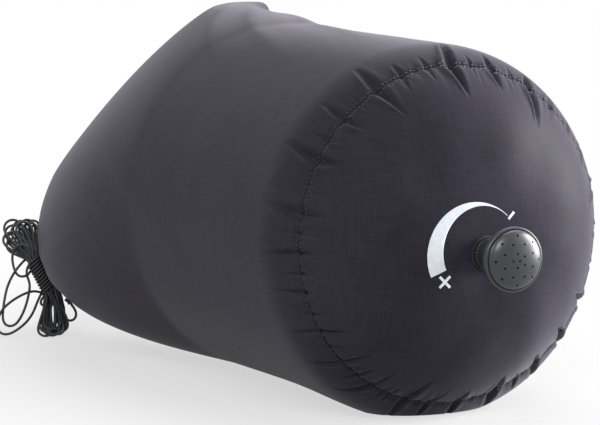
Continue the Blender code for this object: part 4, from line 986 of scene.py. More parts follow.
# The waist from its top to its foot, its strands by column, their spacing and how much deeper than round the
# waist is. Then the wraps: how many, the turn they start at, their spacing and slant, the columns' spacing and
# the wraps' own as shares, and the wraps' stand off the strands in diameters
WAIST_TOP = np.array([0.2, -0.6])
WAIST_FOOT = np.array([12.4, -21.6])
WAIST_COLUMNS = (5, 5, 5, 5, 5)
STRAND_GAP = 1.50
SECTION_STRETCH = 1.2
WRAP_TURNS = 10.725
WRAP_START = 1.3 * math.pi
WRAP_PITCH = 2.25
WRAP_SLANT = 0.30
COLUMN_SHARE = 0.95
WRAP_STEP_SHARE = 0.83
WRAP_STAND = (0.98, 0.66)

# Where the cord turns from the waist's foot into the first wrap: down from the foot, across, off the sheet
WRAP_ENTRY = (
    (2.8, -2.4, 0.6), (4.6, -5.4, -0.6), (4.0, -8.6, -2.2), (1.0, -9.4, -3.6), (-1.0, -7.0, -4.4))

# End loops from left to right: heads by turn in degrees and reach from the waist's top, feet by the place of
# the bend, each with its height off the sheet and the radius of its bend
HEAD_LOOPS = np.array([
    (149, 18.4, 0, 4.9), (143, 22, 2.4, 5), (137, 20.6, -2.4, 4.9), (132, 24.4, -0.6, 4.9),
    (127, 27, 3.6, 5.4), (122, 22.6, 1.2, 4.9), (117, 24.2, -3.2, 4.9), (111, 22.4, 4.2, 4.9),
    (106, 23.4, -0.8, 4.9), (100, 21, 2, 4.9), (95, 22.4, -2.6, 4.9), (89, 19.6, 0.4, 4.9)])
FOOT_LOOPS = np.array([
    (10, -47, 0, 4.9), (11, -44.4, 2.6, 4.9), (11.4, -42, -2.4, 4.9), (12.6, -45.6, -0.8, 4.9),
    (13.4, -43.2, 4, 4.9), (14, -46.2, 1.4, 5), (14.8, -42.6, -3.4, 4.9), (15.4, -45.8, 3, 4.9),
    (16.2, -43.4, -1.4, 4.9), (17, -45, 1.2, 4.9), (17.6, -42.4, -2.8, 4.9), (18.4, -44.2, 2.2, 4.9)])

# An end loop's legs: their points' shares of the way to the waist, how much the legs have closed by then and
# by which power, and the shares of the loop's height there
LEG_SHARES = (0.34, 0.67)
LEG_CLOSING = 0.75
LEG_POWER = 1.3
LEG_HEIGHTS = (0.8, 0.45)

# How the cord's line settles: in how many steps, by how much it eases its bend, evens it, goes back to its
# start and moves apart at each step, the most that it moves apart and off the wall, how far off the wall it
# lies in diameters, and its last smoothing
SETTLE_STEPS = 150
BEND_EASE = 0.03
BEND_EVENING = 0.4
START_PULL = 0.02
PUSH = 0.22
MOST_PUSH = 0.0004
MOST_WALL_PUSH = 0.0006
WALL_STAND = 0.7
LAST_STEPS = 6
LAST_EASE = 0.3

# How often its points are spread evenly, how far apart along the cord and how near to each other two points
# are, in diameters, to be kept apart, and how near to the wall a point is to be kept off it
SPREAD_STEPS = 10
ALONG_REACH = 4.5
NEAR_REACH = 1.7
WALL_REACH = 0.012

# The loose end: a large loop, a small one under the fan, a second large loop, and one on the right that ends
# in the knot
LOOSE_END = np.array([
    (-3.4, -5, 0.4), (-3.6, -9, -0.4), (-1.8, -13.4, 0.6), (-0.6, -18.2, 1.6), (-2.4, -28.9, 1.5),
    (-5.3, -36, 0.5), (-8.3, -40.1, 0), (-11.2, -41.3, 0), (-13.6, -40.1, 0), (-15.3, -36.6, 0),
    (-15.5, -31.3, 0.5), (-15, -25.4, 1), (-14.2, -19.5, 1.5), (-12.4, -13.9, 2), (-9.4, -8.3, 2),
    (-5.9, -3.5, 0), (-2.4, 0.8, -3), (0.8, 4, -5.8), (4.4, 5.2, -7.4), (7.8, 3.2, -8), (7.8, -1.4, -7.4),
    (4.4, -5, -6), (0.8, -7, -3.6), (-1.4, -10.4, -0.5), (-4.3, -13, 1), (-7.8, -12, 1), (-10.4, -7.6, 1),
    (-12, -2, 1.4), (-11.4, 3.8, 3.2), (-7.6, 7.2, 5.6), (-3, 6, 5.8), (-0.8, 1.4, 4), (0, -4.2, -1),
    (2.2, -9.4, -5.6), (6.2, -13.2, -7.6), (10.4, -15.6, -8.4), (12.2, -18.8, -7.8), (9.8, -21.6, -5.4),
    (5.4, -20.8, -2), (1.2, -19.8, 0.4), (-3.6, -21.8, 1), (-10, -25.4, 1), (-15.6, -30.6, 1),
    (-18.2, -36.8, 1), (-18, -42.4, 0.6), (-14.8, -45.2, 0.4), (-10, -44.4, 1), (-5.3, -41.3, 1.5),
    (-1.2, -37.8, 2), (2.4, -31.9, 1.5), (4.4, -25.4, -1.5), (7.6, -20.4, -5.8), (12.4, -18.8, -7.8),
    (16.6, -21.6, -7.4), (18.4, -26.4, -4.6), (19.2, -31, -1.8), (20.2, -34.8, -0.4), (22, -37.8, 0.4),
    (25.2, -38.2, 0.6), (27.2, -35.4, 0.6), (26.8, -31.6, 0.2), (24.4, -28.6, -1), (22.2, -25.8, -2.6)])


def view_axes():
    """The camera's right, up and back directions, from its azimuth and elevation."""
    back = np.array([math.sin(VIEW_AZIMUTH) * math.cos(VIEW_ELEVATION),
                     -math.cos(VIEW_AZIMUTH) * math.cos(VIEW_ELEVATION), math.sin(VIEW_ELEVATION)])
    right = unit(np.cross([0.0, 0.0, 1.0], back))
    return right, np.cross(back, right), back


def on_sheet(points):
    """Places in the frame for points of the hank's sheet, which leans from the viewer as it rises."""
    right, up, back = view_axes()
    points = np.atleast_2d(points) / 1000
    rise = up - SHEET_LEAN * back
    return SHEET_PLACE + points[:, :1] * right + points[:, 1:2] * rise + points[:, 2:] * back


def end_loop(middle, heading, height, radius, waist, sign):
    """Points round one end loop: half a circle facing the viewer, and its two legs run in to the waist."""
    side = np.array([-heading[1], heading[0]]) * sign
    angle = np.radians(np.linspace(180.0, 0.0, 9))[:, None]
    arc = middle + radius * (np.cos(angle) * side * -1.0 + np.sin(angle) * heading)
    reach = np.array(LEG_SHARES)[:, None]
    spread = radius * (1.0 - LEG_CLOSING * reach ** LEG_POWER)
    legs = [middle + (waist - middle) * reach + hand * spread * side for hand in (1.0, -1.0)]
    line = joined(legs[0][::-1], arc, legs[1])
    depth = joined(LEG_HEIGHTS[::-1], np.ones(9), LEG_HEIGHTS) * height
    return np.concatenate([line, depth[:, None]], axis=1)


def waist_places(wishes):
    """A place across the waist and into it for each strand: sorted across into columns, then into rows."""
    order = np.argsort(wishes[:, 0], kind="stable")
    places = np.zeros_like(wishes)
    start = 0
    for column, count in enumerate(WAIST_COLUMNS):
        members = order[start:start + count]
        members = members[np.argsort(wishes[members, 1], kind="stable")]
        places[members, 0] = (column - (len(WAIST_COLUMNS) - 1) / 2) * STRAND_GAP * COLUMN_SHARE
        places[members, 1] = (np.arange(count) - (count - 1) / 2) * STRAND_GAP
        start += count
    return places


def hank_line():
    """The wound cord on its sheet: in at the waist, foot loop, up, head loop, down, twelve times over."""
    along = unit(WAIST_FOOT - WAIST_TOP)
    across = np.array([-along[1], along[0]])
    count = len(FOOT_LOOPS)
    pieces = []
    wishes = [(-2.6, 0.0)]
    for k in range(count):
        u, v, height, radius = FOOT_LOOPS[k]
        down = np.array([0.0, -1.0])
        foot = end_loop(np.array([u, v + radius]), down, height, radius, WAIST_FOOT, -1.0)
        turn, reach, rise, bend = HEAD_LOOPS[k]
        heading = np.array([math.cos(math.radians(turn)), math.sin(math.radians(turn))])
        head = end_loop(WAIST_TOP + heading * (reach - bend), heading, rise, bend, WAIST_TOP, -1.0)
        pieces += [foot, head]
        wishes += [(k + 2.2, height + rise), (k - 2.2, rise + FOOT_LOOPS[min(k + 1, count - 1)][2])]
    ends = np.stack([WAIST_TOP * (1.0 - share) + WAIST_FOOT * share for share in (0.0, 0.33, 0.67, 1.0)])
    points = []
    for k, (wide, deep) in enumerate(waist_places(np.array(wishes))):
        depth = deep * SECTION_STRETCH + SHEET_LEAN * across[1] * wide
        line = np.concatenate([ends + across * wide, np.full((4, 1), depth)], axis=1)
        points += [line if k % 2 == 0 else line[::-1]] + pieces[k:k + 1]
    return np.concatenate(points)


def wrap_line(diameter):
    """The wraps that bind the waist: a slanted helix on an oval just outside the strands, from foot to top."""
    along = unit(WAIST_FOOT - WAIST_TOP)
    across = np.array([-along[1], along[0]])
    turns = np.linspace(0.0, WRAP_TURNS, 172)
    angle = turns * 2 * np.pi + WRAP_START
    wide = len(WAIST_COLUMNS) * COLUMN_SHARE * STRAND_GAP / 2 + WRAP_STAND[0] * diameter * 1000
    deep = max(WAIST_COLUMNS) * STRAND_GAP * SECTION_STRETCH / 2 + WRAP_STAND[1] * diameter * 1000
    middle = (WAIST_TOP + WAIST_FOOT) / 2
    side = wide * np.cos(angle)
    run = (WRAP_TURNS / 2 - turns) * WRAP_PITCH * WRAP_STEP_SHARE - WRAP_SLANT * side
    flat = middle + run[:, None] * along + side[:, None] * across
    lean = SHEET_LEAN * across[1]
    helix = joined(flat.T, [deep * np.sin(angle) + lean * side]).T
    entry = [np.append(WAIST_FOOT + along * down + across * aside, depth + lean * aside)
             for down, aside, depth in WRAP_ENTRY]
    return joined(entry, helix)


def bowed(line):
    """How far each point lies from the middle of its neighbours."""
    off = np.zeros_like(line)
    off[1:-1] = (line[:-2] + line[2:]) / 2 - line[1:-1]
    return off


def evened(line, start):
    """The line's points spread evenly along it, and their start places with them."""
    along = run_along(line)
    index = np.interp(np.linspace(0.0, along[-1], len(line)), along, np.arange(len(line)))
    low = np.minimum(index.astype(int), len(line) - 2)
    share = (index - low)[:, None]
    return tuple(points[low] * (1 - share) + points[low + 1] * share for points in (line, start))


def wall_beside_hank():
    """Points and outward normals of the smooth wall where it narrows beside the hank."""
    along = np.linspace(0.22, SIDE_LENGTH, 50)
    angle = np.linspace(0.4, 1.6, 72) * np.pi
    s, a = np.meshgrid(along, angle, indexing="ij")
    return wall_base(s, a).reshape(-1, 3), wall_normal(s, a, 0.001).reshape(-1, 3)


def settled(line, diameter, wall, normals):
    """The cord's line come to rest.

    At each step its bending evens out, its points move a little back towards their start, strands closer
    than one diameter move apart, square to the strand, by part of what is missing, and points in the wall or
    under the floor move out. The ends stay, and the points are spread evenly now and then.
    """
    start = line.copy()
    count = len(line)
    index = np.arange(count)
    first_point, last_point = line[0].copy(), line[-1].copy()
    for step in range(SETTLE_STEPS):
        if step % SPREAD_STEPS == 0:
            line, start = evened(line, start)
            reach = int(round(ALONG_REACH * diameter / np.linalg.norm(line[1] - line[0])))
            square = (line ** 2).sum(axis=1)
            far = square[:, None] + square[None] - 2 * line @ line.T
            near = (far < (NEAR_REACH * diameter) ** 2) & (index[None] - index[:, None] > reach)
            first, second = np.nonzero(near)
            gap = square[:, None] + (wall ** 2).sum(axis=1)[None] - 2 * line @ wall.T
            close = gap.argmin(axis=1)
            beside = gap.min(axis=1) < WALL_REACH ** 2
        off = bowed(line)
        line += BEND_EASE * off - BEND_EVENING * bowed(off) + START_PULL * (start - line)
        heading = unit(np.gradient(line, axis=0))
        apart = line[second] - line[first]
        distance = np.maximum(np.linalg.norm(apart, axis=1), 1e-5)
        missing = np.maximum(diameter - distance, 0.0) / distance
        push = apart * (PUSH * missing)[:, None]
        move = np.stack([np.bincount(second, push[:, axis], count) - np.bincount(first, push[:, axis], count)
                         for axis in range(3)], axis=-1)
        move -= heading * np.sum(move * heading, axis=1, keepdims=True)
        size = np.maximum(np.linalg.norm(move, axis=1, keepdims=True), 1e-9)
        line += move * np.minimum(1.0, MOST_PUSH / size)
        off = ((line - wall[close]) * normals[close]).sum(axis=1)
        line += normals[close] * (np.clip(diameter * WALL_STAND - off, 0.0, MOST_WALL_PUSH) * beside)[:, None]
        line[:, 2] = np.maximum(line[:, 2], diameter / 2 + 0.0001)
        line[0], line[-1] = first_point, last_point
    for _ in range(LAST_STEPS):
        line += LAST_EASE * bowed(line)
    return line


def hitch_line(diameter):
    """The loop round the closure's lower bend: an oval off the knot and back to it."""
    thick = ROLL_HALF_THICKNESS + diameter / 2 + HITCH_STAND
    straight = ROLL_WIDTH / 2 - ROLL_HALF_THICKNESS
    angle = HITCH_OPENING / 2 + (2 * math.pi - HITCH_OPENING) * np.linspace(0.0, 1.0, 33)
    wide = straight * slot_share(angle, HITCH_SHARPNESS) + thick * np.cos(angle)
    return HITCH_PLACE + WIDE_LINE * wide[:, None] + EAR_LINE * (thick * np.sin(angle))[:, None]


def knot_line(middle, radius, turn):
    """An overhand knot pulled tight: the curve that goes twice round while it weaves three times."""
    t = np.linspace(0.0, 2 * np.pi, 49)[:-1] + turn
    x = (np.sin(t) + KNOT_WEAVE * np.sin(2 * t)) / (1 + KNOT_WEAVE)
    y = (np.cos(t) - KNOT_WEAVE * np.cos(2 * t)) / (1 + KNOT_WEAVE)
    z = -KNOT_DEPTH * np.sin(3 * t)
    return middle + radius * stacked(x, z, y)


class SHOWERBAG_OT_cord(bpy.types.Operator):
    """Make the hanging cord: its hitch on the closure, its knots, and the hank with its loose end."""
    bl_idname = "showerbag.cord"
    bl_label = "Hanging cord"

    def execute(self, context):
        settings = context.scene.showerbag_cord
        diameter = settings.diameter
        yarn = braided("cord_braid", tuple(settings.colour), BRAID_PITCH, 0.06)
        sheet = joined(hank_line(), wrap_line(diameter), LOOSE_END)
        line = smooth_line(joined(LEAD, on_sheet(sheet)), CORD_STEP)
        line = settled(line, diameter, *wall_beside_hank())
        loop = smooth_line(hitch_line(diameter), HITCH_STEP)
        hank, end, knot, hitch = (
            new_piece(tube(name, path, diameter / 2), yarn, "bag", replaced)
            for name, path, replaced in (
                ("hanging_cord", line, ("cord_lead", "cord_hank", "cord_wraps", "cord_slack", "cord_tail")),
                ("end_knot", knot_line(line[-1], END_KNOT_RADIUS, 0.3), ()),
                ("hitch_knot", knot_line(KNOT_PLACE, HITCH_KNOT_RADIUS, 0.9), ("cord_knot",)),
                ("cord_hitch_loop", loop, ("cord_hitch",))))
        return {"FINISHED"}


# Cloth

class SHOWERBAG_OT_bag(bpy.types.Operator):
    """Make the wall and the domed panel of coated nylon, gathered along the base seam."""
    bl_idname = "showerbag.bag"
    bl_label = "Wall and base panel"

    def execute(self, context):
        settings = context.scene.showerbag_cloth
        cloth = nylon("coated_nylon_cloth", tuple(settings.colour), settings.weave)
        wall = mesh_from_grid("bag_wall", *wall_grid(WALL_ROWS, CLOTH_COLUMNS, settings.gather), closed=True)
        new_piece(wall, cloth, "bag", ("side_wall",))
        panel = panel_grid(PANEL_ROWS, CLOTH_COLUMNS, settings.gather)
        panel = mesh_from_grid("bag_panel", *panel, closed=True, flip=True)
        new_piece(panel, cloth, "bag", ("base_panel", "base_seam_allowance"))
        return {"FINISHED"}


def stitch_mesh(name, middle, heading, outward, length, radius):
    """Many stitches: each a short thread with six sides that dips into the cloth at both ends."""
    count = STITCH_SIDES
    along = np.linspace(-0.5, 0.5, count)
    lift = np.cos(along * np.pi) ** STITCH_ARCH
    size = np.sqrt(1.0 - (2 * along) ** 4 * STITCH_THINNING)
    angle = round_circle(count)
    side = np.cross(heading, outward)
    core = middle[:, None] + heading[:, None] * (along * length)[None, :, None]
    core = core + outward[:, None] * ((lift - STITCH_DEPTH) * radius)[None, :, None]
    cosine, sine = np.cos(angle)[:, None], np.sin(angle)[:, None]
    ring = cosine * outward[:, None, None] + sine * side[:, None, None]
    points = core[:, :, None] + ring * (size * radius)[None, :, None, None]
    start = (np.arange(len(middle)) * count ** 2)[:, None, None]
    a, b = np.meshgrid(np.arange(count - 1), np.arange(count), indexing="ij")
    low, high, onward = a * count, (a + 1) * count, (b + 1) % count
    quads = stacked(low + b, low + onward, high + onward, high + b)
    quads = (quads.reshape(1, -1, 4) + start).reshape(-1, 4)
    end = np.arange(count)
    first = (end[::-1][None] + start[:, :, 0]).tolist()
    last = ((count - 1) * count + end[None] + start[:, :, 0]).tolist()
    mesh = faced_mesh(name, points.reshape(-1, 3).tolist(), quads.tolist() + first + last)
    mesh.shade_smooth()
    return mesh


def seam_row(place, along, gain):
    """Places, headings and outward directions of stitches beside the seam, on the wall or on the panel."""
    surface, start, place = (
        (wall_point, 0.0, place - EAR_TURN) if along > 0 else (panel_point, SEAM_RADIUS, place))
    run = np.full(len(place), start + along)
    middle = surface(run, place, gain)
    ahead = surface(run, place + 0.003, gain) - middle
    beyond = surface(run + along, place, gain) - middle
    return middle, ahead, np.cross(beyond, ahead) * np.sign(along)


class SHOWERBAG_OT_stitching(bpy.types.Operator):
    """Make the two rows of stitches that hold the base seam."""
    bl_idname = "showerbag.stitching"
    bl_label = "Seam stitching"

    def execute(self, context):
        settings = context.scene.showerbag_cloth
        count = settings.stitches
        turn = round_circle(count)
        thread = braided("seam_thread", (0.004, 0.004, 0.005), THREAD_PITCH, 0.0)
        rows = (seam_row(turn, STITCH_ROW, settings.gather),
                seam_row(turn + np.pi / count, -STITCH_ROW, settings.gather))
        middle, heading, outward = (np.concatenate(values) for values in zip(*rows))
        length = 2 * np.pi * SEAM_RADIUS / count * STITCH_SHARE
        mesh = stitch_mesh("seam_stitches", middle, unit(heading), unit(outward), length, STITCH_RADIUS)
        add_own_uv(mesh)
        new_piece(mesh, thread, "bag")
        return {"FINISHED"}


def points_of(mesh):
    """A mesh's points as an array."""
    points = np.empty(len(mesh.vertices) * 3)
    mesh.vertices.foreach_get("co", points)
    return points.reshape(-1, 3)


def add_own_uv(mesh):
    """UVs from the points' own places, for small pieces whose pattern needn't follow them."""
    points = points_of(mesh)
    index = np.empty(len(mesh.loops), dtype=np.int32)
    mesh.loops.foreach_get("vertex_index", index)
    flat = stacked(points[:, 0] + points[:, 2] * 0.6, points[:, 1] + points[:, 2] * 0.8)
    layer = mesh.uv_layers.new(name="surface")
    layer.data.foreach_set("uv", flat[index].reshape(-1).astype(np.float32))


# Printed flow scale

def print_mesh(name, radius, angle, gain):
    """A thin layer of ink on the panel, over a grid of distances and turns about the print's middle."""
    x = PRINT_SIDE + radius * np.cos(angle)
    z = PRINT_LIFT + radius * np.sin(angle)
    far, turn = np.hypot(x, z), np.arctan2(z, x)
    top = panel_point(far, turn, gain, PRINT_STAND)
    low = panel_point(far, turn, gain, PRINT_STAND / 3)
    edge = joined(low[:1], top, low[-1:])
    sides = np.concatenate([low[:, :1], low[:, -1:]], axis=1)
    sides = joined(sides[:1], sides, sides[-1:])
    grid = np.concatenate([sides[:, :1], edge, sides[:, 1:]], axis=1)
    return mesh_from_grid(name, grid, stacked(grid[..., 0], grid[..., 2]))


def crescent_grid(columns, rows):
    """The scale's band, whose width grows as a power of a sine from its tail to its end."""
    share = np.linspace(0.0, 1.0, columns)
    angle = SCALE_START + (SCALE_END - SCALE_START) * share
    inner = SCALE_INNER + SCALE_GROWTH * share
    width = SCALE_TAIL + (SCALE_WIDTH - SCALE_TAIL) * np.sin(share * np.pi / 2) ** SCALE_POWER
    across = np.linspace(0.0, 1.0, rows)[:, None]
    radius = inner[None, :] + across * width[None, :]
    return radius, np.broadcast_to(angle, radius.shape)


def bar_grid(place, middle, offset, along, across, turn=0.0, rows=5, columns=9):
    """A bar at a place round the head, by half-lengths along and across the radius, turned in place."""
    u, v = np.meshgrid(np.linspace(-along, along, columns), offset + np.linspace(-across, across, rows))
    out = middle + u * math.cos(turn) - v * math.sin(turn)
    aside = u * math.sin(turn) + v * math.cos(turn)
    return np.hypot(out, aside), place + np.arctan2(aside, out)


class SHOWERBAG_OT_scale(bpy.types.Operator):
    """Print the flow scale on the panel: a widening band between a less and a more sign."""
    bl_idname = "showerbag.scale"
    bl_label = "Printed flow scale"

    def execute(self, context):
        gain = context.scene.showerbag_cloth.gather
        ink = printed("pale_ink", tuple(context.scene.showerbag_head.ink))
        bar = SIGN_BAR / 2
        side = (PLUS_ARM - bar) / 2
        plus = (PLUS_PLACE, PLUS_RADIUS)
        for name, grid, replaced in (
                ("scale_band", crescent_grid(140, 14), ("flow_crescent",)),
                ("scale_less", bar_grid(MINUS_PLACE, MINUS_RADIUS, 0.0, SIGN_LENGTH / 2, bar),
                 ("flow_less_sign",)),
                ("scale_more", bar_grid(*plus, 0.0, PLUS_ARM, bar, PLUS_TURN), ("flow_more_sign",)),
                ("scale_more_arm_0", bar_grid(*plus, -(bar + side), bar, side, PLUS_TURN), ()),
                ("scale_more_arm_1", bar_grid(*plus, bar + side, bar, side, PLUS_TURN), ())):
            new_piece(print_mesh(name, *grid, gain), ink, "bag", replaced)
        return {"FINISHED"}


# Shower head

def shell_profile():
    """The rose's back: a collar on the spout, and a bowl that flares as a power of a sine to its rim."""
    low, high = NECK_TOP, RIM_PLACE - RIM_HEIGHT
    height = np.linspace(low, high, 22)
    share = (height - low) / (high - low)
    outer = NECK_RADIUS + (ROSE_RADIUS - NECK_RADIUS) * np.sin(share * np.pi / 2) ** BOWL_POWER
    bore = SPOUT_RADIUS + 0.0004
    inner = np.maximum(outer - SHELL_WALL, bore)
    collar = [(bore, COLLAR_LOW + 0.0003), (bore + 0.0003, COLLAR_LOW), (NECK_RADIUS - 0.0004, COLLAR_LOW),
              (NECK_RADIUS, COLLAR_LOW + 0.0004), (NECK_RADIUS, NECK_TOP - 0.0006)]
    lip = ROSE_RADIUS - SHELL_WALL
    rim = [(ROSE_RADIUS, high + 0.0003), (ROSE_RADIUS, RIM_PLACE - 0.0004),
           (ROSE_RADIUS - 0.00035, RIM_PLACE), (lip + 0.00025, RIM_PLACE), (lip, RIM_PLACE - 0.0003)]
    back = [(r, min(h + SHELL_WALL, RIM_PLACE - 0.0005)) for r, h in zip(inner[::-1], height[::-1])]
    return collar + list(zip(outer, height)) + rim + back + [collar[0]]


def face_profile():
    """The rose's face: a quarter ellipse from its middle to its rim, a rounded lip, and the same inside."""
    rim = ROSE_RADIUS - SHELL_WALL - PIECE_GAP / 3
    seat = RIM_PLACE - 0.0002
    dome = FACE_DOME - (RIM_HEIGHT * 0.45 - 0.0002)
    turn = np.linspace(0.0, np.pi / 2, 26)
    outer, inner = (
        stacked(np.maximum((rim - wall) * np.sin(turn), 0.00001), seat + (dome - wall) * np.cos(turn))
        for wall in (0.0, FACE_WALL))
    foot = np.array([(rim, seat - 0.0008), (rim - FACE_WALL, seat - 0.0008)])
    return joined(outer, foot, inner[::-1])


def hole_cutter(radius, sides=16):
    """All the rose's holes as one mesh of pins, in rings about its middle."""
    points, faces = [], []
    angle = round_circle(sides)
    ring = list(range(sides))
    for count, share, turn_share in HOLE_RINGS:
        for k in range(count):
            place = (k + turn_share) * 2 * math.pi / count
            x = ROSE_RADIUS * share * math.cos(place) + radius * np.cos(angle)
            z = HEAD_Z + ROSE_RADIUS * share * math.sin(place) + radius * np.sin(angle)
            start = sides * len(points)
            points += [stacked(x, np.full(sides, SEAM_Y - RIM_PLACE - depth), z)
                       for depth in (-0.008, 0.009)]
            pin = [[i, (i + 1) % sides, sides + (i + 1) % sides, sides + i] for i in ring]
            pin += [ring[::-1], [sides + i for i in ring]]
            faces += [[start + i for i in face] for face in pin]
    return linked("hole_pins", faced_mesh("hole_pins", np.concatenate(points).tolist(), faces))


def welded(mesh, distance=0.000004):
    """The mesh with its doubles merged and its faces turned outwards."""
    shape = bmesh.new()
    shape.from_mesh(mesh)
    bmesh.ops.remove_doubles(shape, verts=shape.verts, dist=distance)
    bmesh.ops.dissolve_degenerate(shape, edges=shape.edges, dist=distance)
    bmesh.ops.recalc_face_normals(shape, faces=shape.faces)
    shape.to_mesh(mesh)
    shape.free()
    return mesh


def smoothed(mesh, degrees):
    """The mesh shaded smooth, save over edges sharper than an angle."""
    mesh.shade_smooth()
    mesh.set_sharp_from_angle(angle=math.radians(degrees))
    return mesh


def pierced(obj, cutter):
    """Cut a cutter out of an object and smooth what isn't a sharp edge."""
    cut = obj.modifiers.new("holes", "BOOLEAN")
    cut.operation = "DIFFERENCE"
    cut.solver = "EXACT"
    cut.object = cutter
    graph = bpy.context.evaluated_depsgraph_get()
    mesh = bpy.data.meshes.new_from_object(obj.evaluated_get(graph))
    obj.modifiers.clear()
    old = obj.data
    obj.data = mesh
    bpy.data.meshes.remove(old)
    bpy.data.objects.remove(cutter, do_unlink=True)
    smoothed(mesh, 35)


class SHOWERBAG_OT_head(bpy.types.Operator):
    """Make the twist shower rose: bowl, pierced face, and the nut that holds the spout to the panel."""
    bl_idname = "showerbag.head"
    bl_label = "Shower rose"

    def execute(self, context):
        settings = context.scene.showerbag_head
        plastic = moulded("rose_plastic", tuple(settings.colour), 0.34, 0.000012, 1400.0)
        # The nut's plastic is the head's colour darkened to 0.42: painted shade of the neck under the rose
        dark = moulded("neck_plastic_painted_shade", tint(tuple(settings.colour), 0.42), 0.42, 0.000015, 1200.0)
        shell = smoothed(welded(lathe("rose_bowl", shell_profile())), 50)
        new_piece(shell, plastic, "rose", ("rose_shell",))
        face = welded(lathe("rose_front", face_profile()))
        face = new_piece(face, plastic, "rose", ("rose_face",))
        pierced(face, hole_cutter(settings.hole))
        bore, high = SPOUT_RADIUS + PIECE_GAP, NUT_LOW + NUT_HEIGHT
        corners = [(bore, NUT_LOW), (NUT_RADIUS, NUT_LOW), (NUT_RADIUS, high), (bore, high)]
        profile = rounded_profile(corners, 0.0005)
        nut = ribbed(lathe("neck_nut", joined(profile, profile[:1]), 240))
        nut.shade_smooth()
        new_piece(nut, dark, "bag", ("retaining_nut",))
        return {"FINISHED"}


def ribbed(mesh, ribs=30, depth=0.00016):
    """The nut's grip: shallow ribs round its outer face, as a cosine of the turn."""
    points = points_of(mesh)
    x, z = points[:, 0], points[:, 2] - HEAD_Z
    radius, turn = np.hypot(x, z), np.arctan2(z, x)
    outer = np.clip((radius - NUT_RADIUS + 0.0006) / 0.0005, 0.0, 1.0)
    radius = radius - depth * outer * (1.0 + np.cos(ribs * turn))
    points[:, 0], points[:, 2] = radius * np.cos(turn), HEAD_Z + radius * np.sin(turn)
    mesh.vertices.foreach_set("co", points.reshape(-1))
    return welded(mesh)


# Rolled closure

def roll_outline(steps):
    """The rolled cloth's section: a flat spiral of two and a half turns with both its faces."""
    turn = np.linspace(0.0, ROLL_TURNS * 2 * np.pi, steps)
    radius = ROLL_CORE + ROLL_PITCH * turn / (2 * np.pi)
    wide = (ROLL_WIDTH / 2 - ROLL_HALF_THICKNESS) * slot_share(turn, ROLL_SHARPNESS)
    outer, inner = (stacked(wide + (radius + offset) * np.cos(turn), (radius + offset) * np.sin(turn))
                    for offset in (ROLL_LAYER / 2, -ROLL_LAYER / 2))
    return joined(outer, inner[::-1])


def roll_path(bend_steps, arm_steps, middle_steps):
    """Stations of the closure from arm to arm: place along the ears, place along the fold, and heading."""
    left, top = -ROLL_STRAIGHT, 2 * ROLL_BEND_RADIUS
    arm = np.linspace(left + ARM_LENGTH, left, arm_steps)[:-1]
    turn = np.pi + np.pi * np.linspace(0.0, 1.0, bend_steps)
    rise = ROLL_BEND_RADIUS * (1 - np.cos(turn))
    bend = stacked(left + ROLL_BEND_RADIUS * np.sin(turn), rise, turn - 2 * np.pi)
    half = joined(stacked(arm, arm * 0 + top, arm * 0 - np.pi), bend)
    middle = np.linspace(left, -left, middle_steps)[1:-1]
    other = half[::-1] * np.array([-1.0, 1.0, -1.0])
    return joined(half, stacked(middle, middle * 0, middle * 0), other)


class SHOWERBAG_OT_closure(bpy.types.Operator):
    """Make the rolled mouth with its bent ends, and the two webbing tabs that carry the buckle."""
    bl_idname = "showerbag.closure"
    bl_label = "Rolled mouth and webbing"

    def execute(self, context):
        cloth = bpy.data.materials["coated_nylon_cloth"]
        outline = roll_outline(76)
        place, rise, heading = roll_path(22, 12, 40).T
        origin = ROLL_PLACE + place[:, None] * EAR_LINE + rise[:, None] * FOLD_LINE
        thick = np.cos(heading)[:, None] * FOLD_LINE - np.sin(heading)[:, None] * EAR_LINE
        run = run_along(origin)
        wrinkle = sum(height * np.sin(run * waves + start) for height, waves, start in WRINKLES)
        grid = (origin[:, None] + outline[None, :, :1] * WIDE_LINE
                + (outline[None, :, 1:] * (1.0 + wrinkle[:, None, None])) * thick[:, None])
        uv = crossed(run, np.append(run_along(outline), 0.16))
        mesh = smoothed(welded(mesh_from_grid("rolled_mouth", grid, uv, closed=True, caps=True)), 60)
        new_piece(mesh, cloth, "bag", ("mouth_roll",))
        tape = webbing("black_webbing", (0.011, 0.012, 0.014))
        thread = braided("tab_thread", (0.035, 0.035, 0.038), THREAD_PITCH)
        for name, side, body in (("lower", -1.0, "bag"), ("upper", 1.0, "clip")):
            mesh, stitches = tab_meshes(name, side)
            new_piece(mesh, tape, body, (f"webbing_tab_{name}",))
            add_own_uv(stitches)
            new_piece(stitches, thread, body)
        return {"FINISHED"}


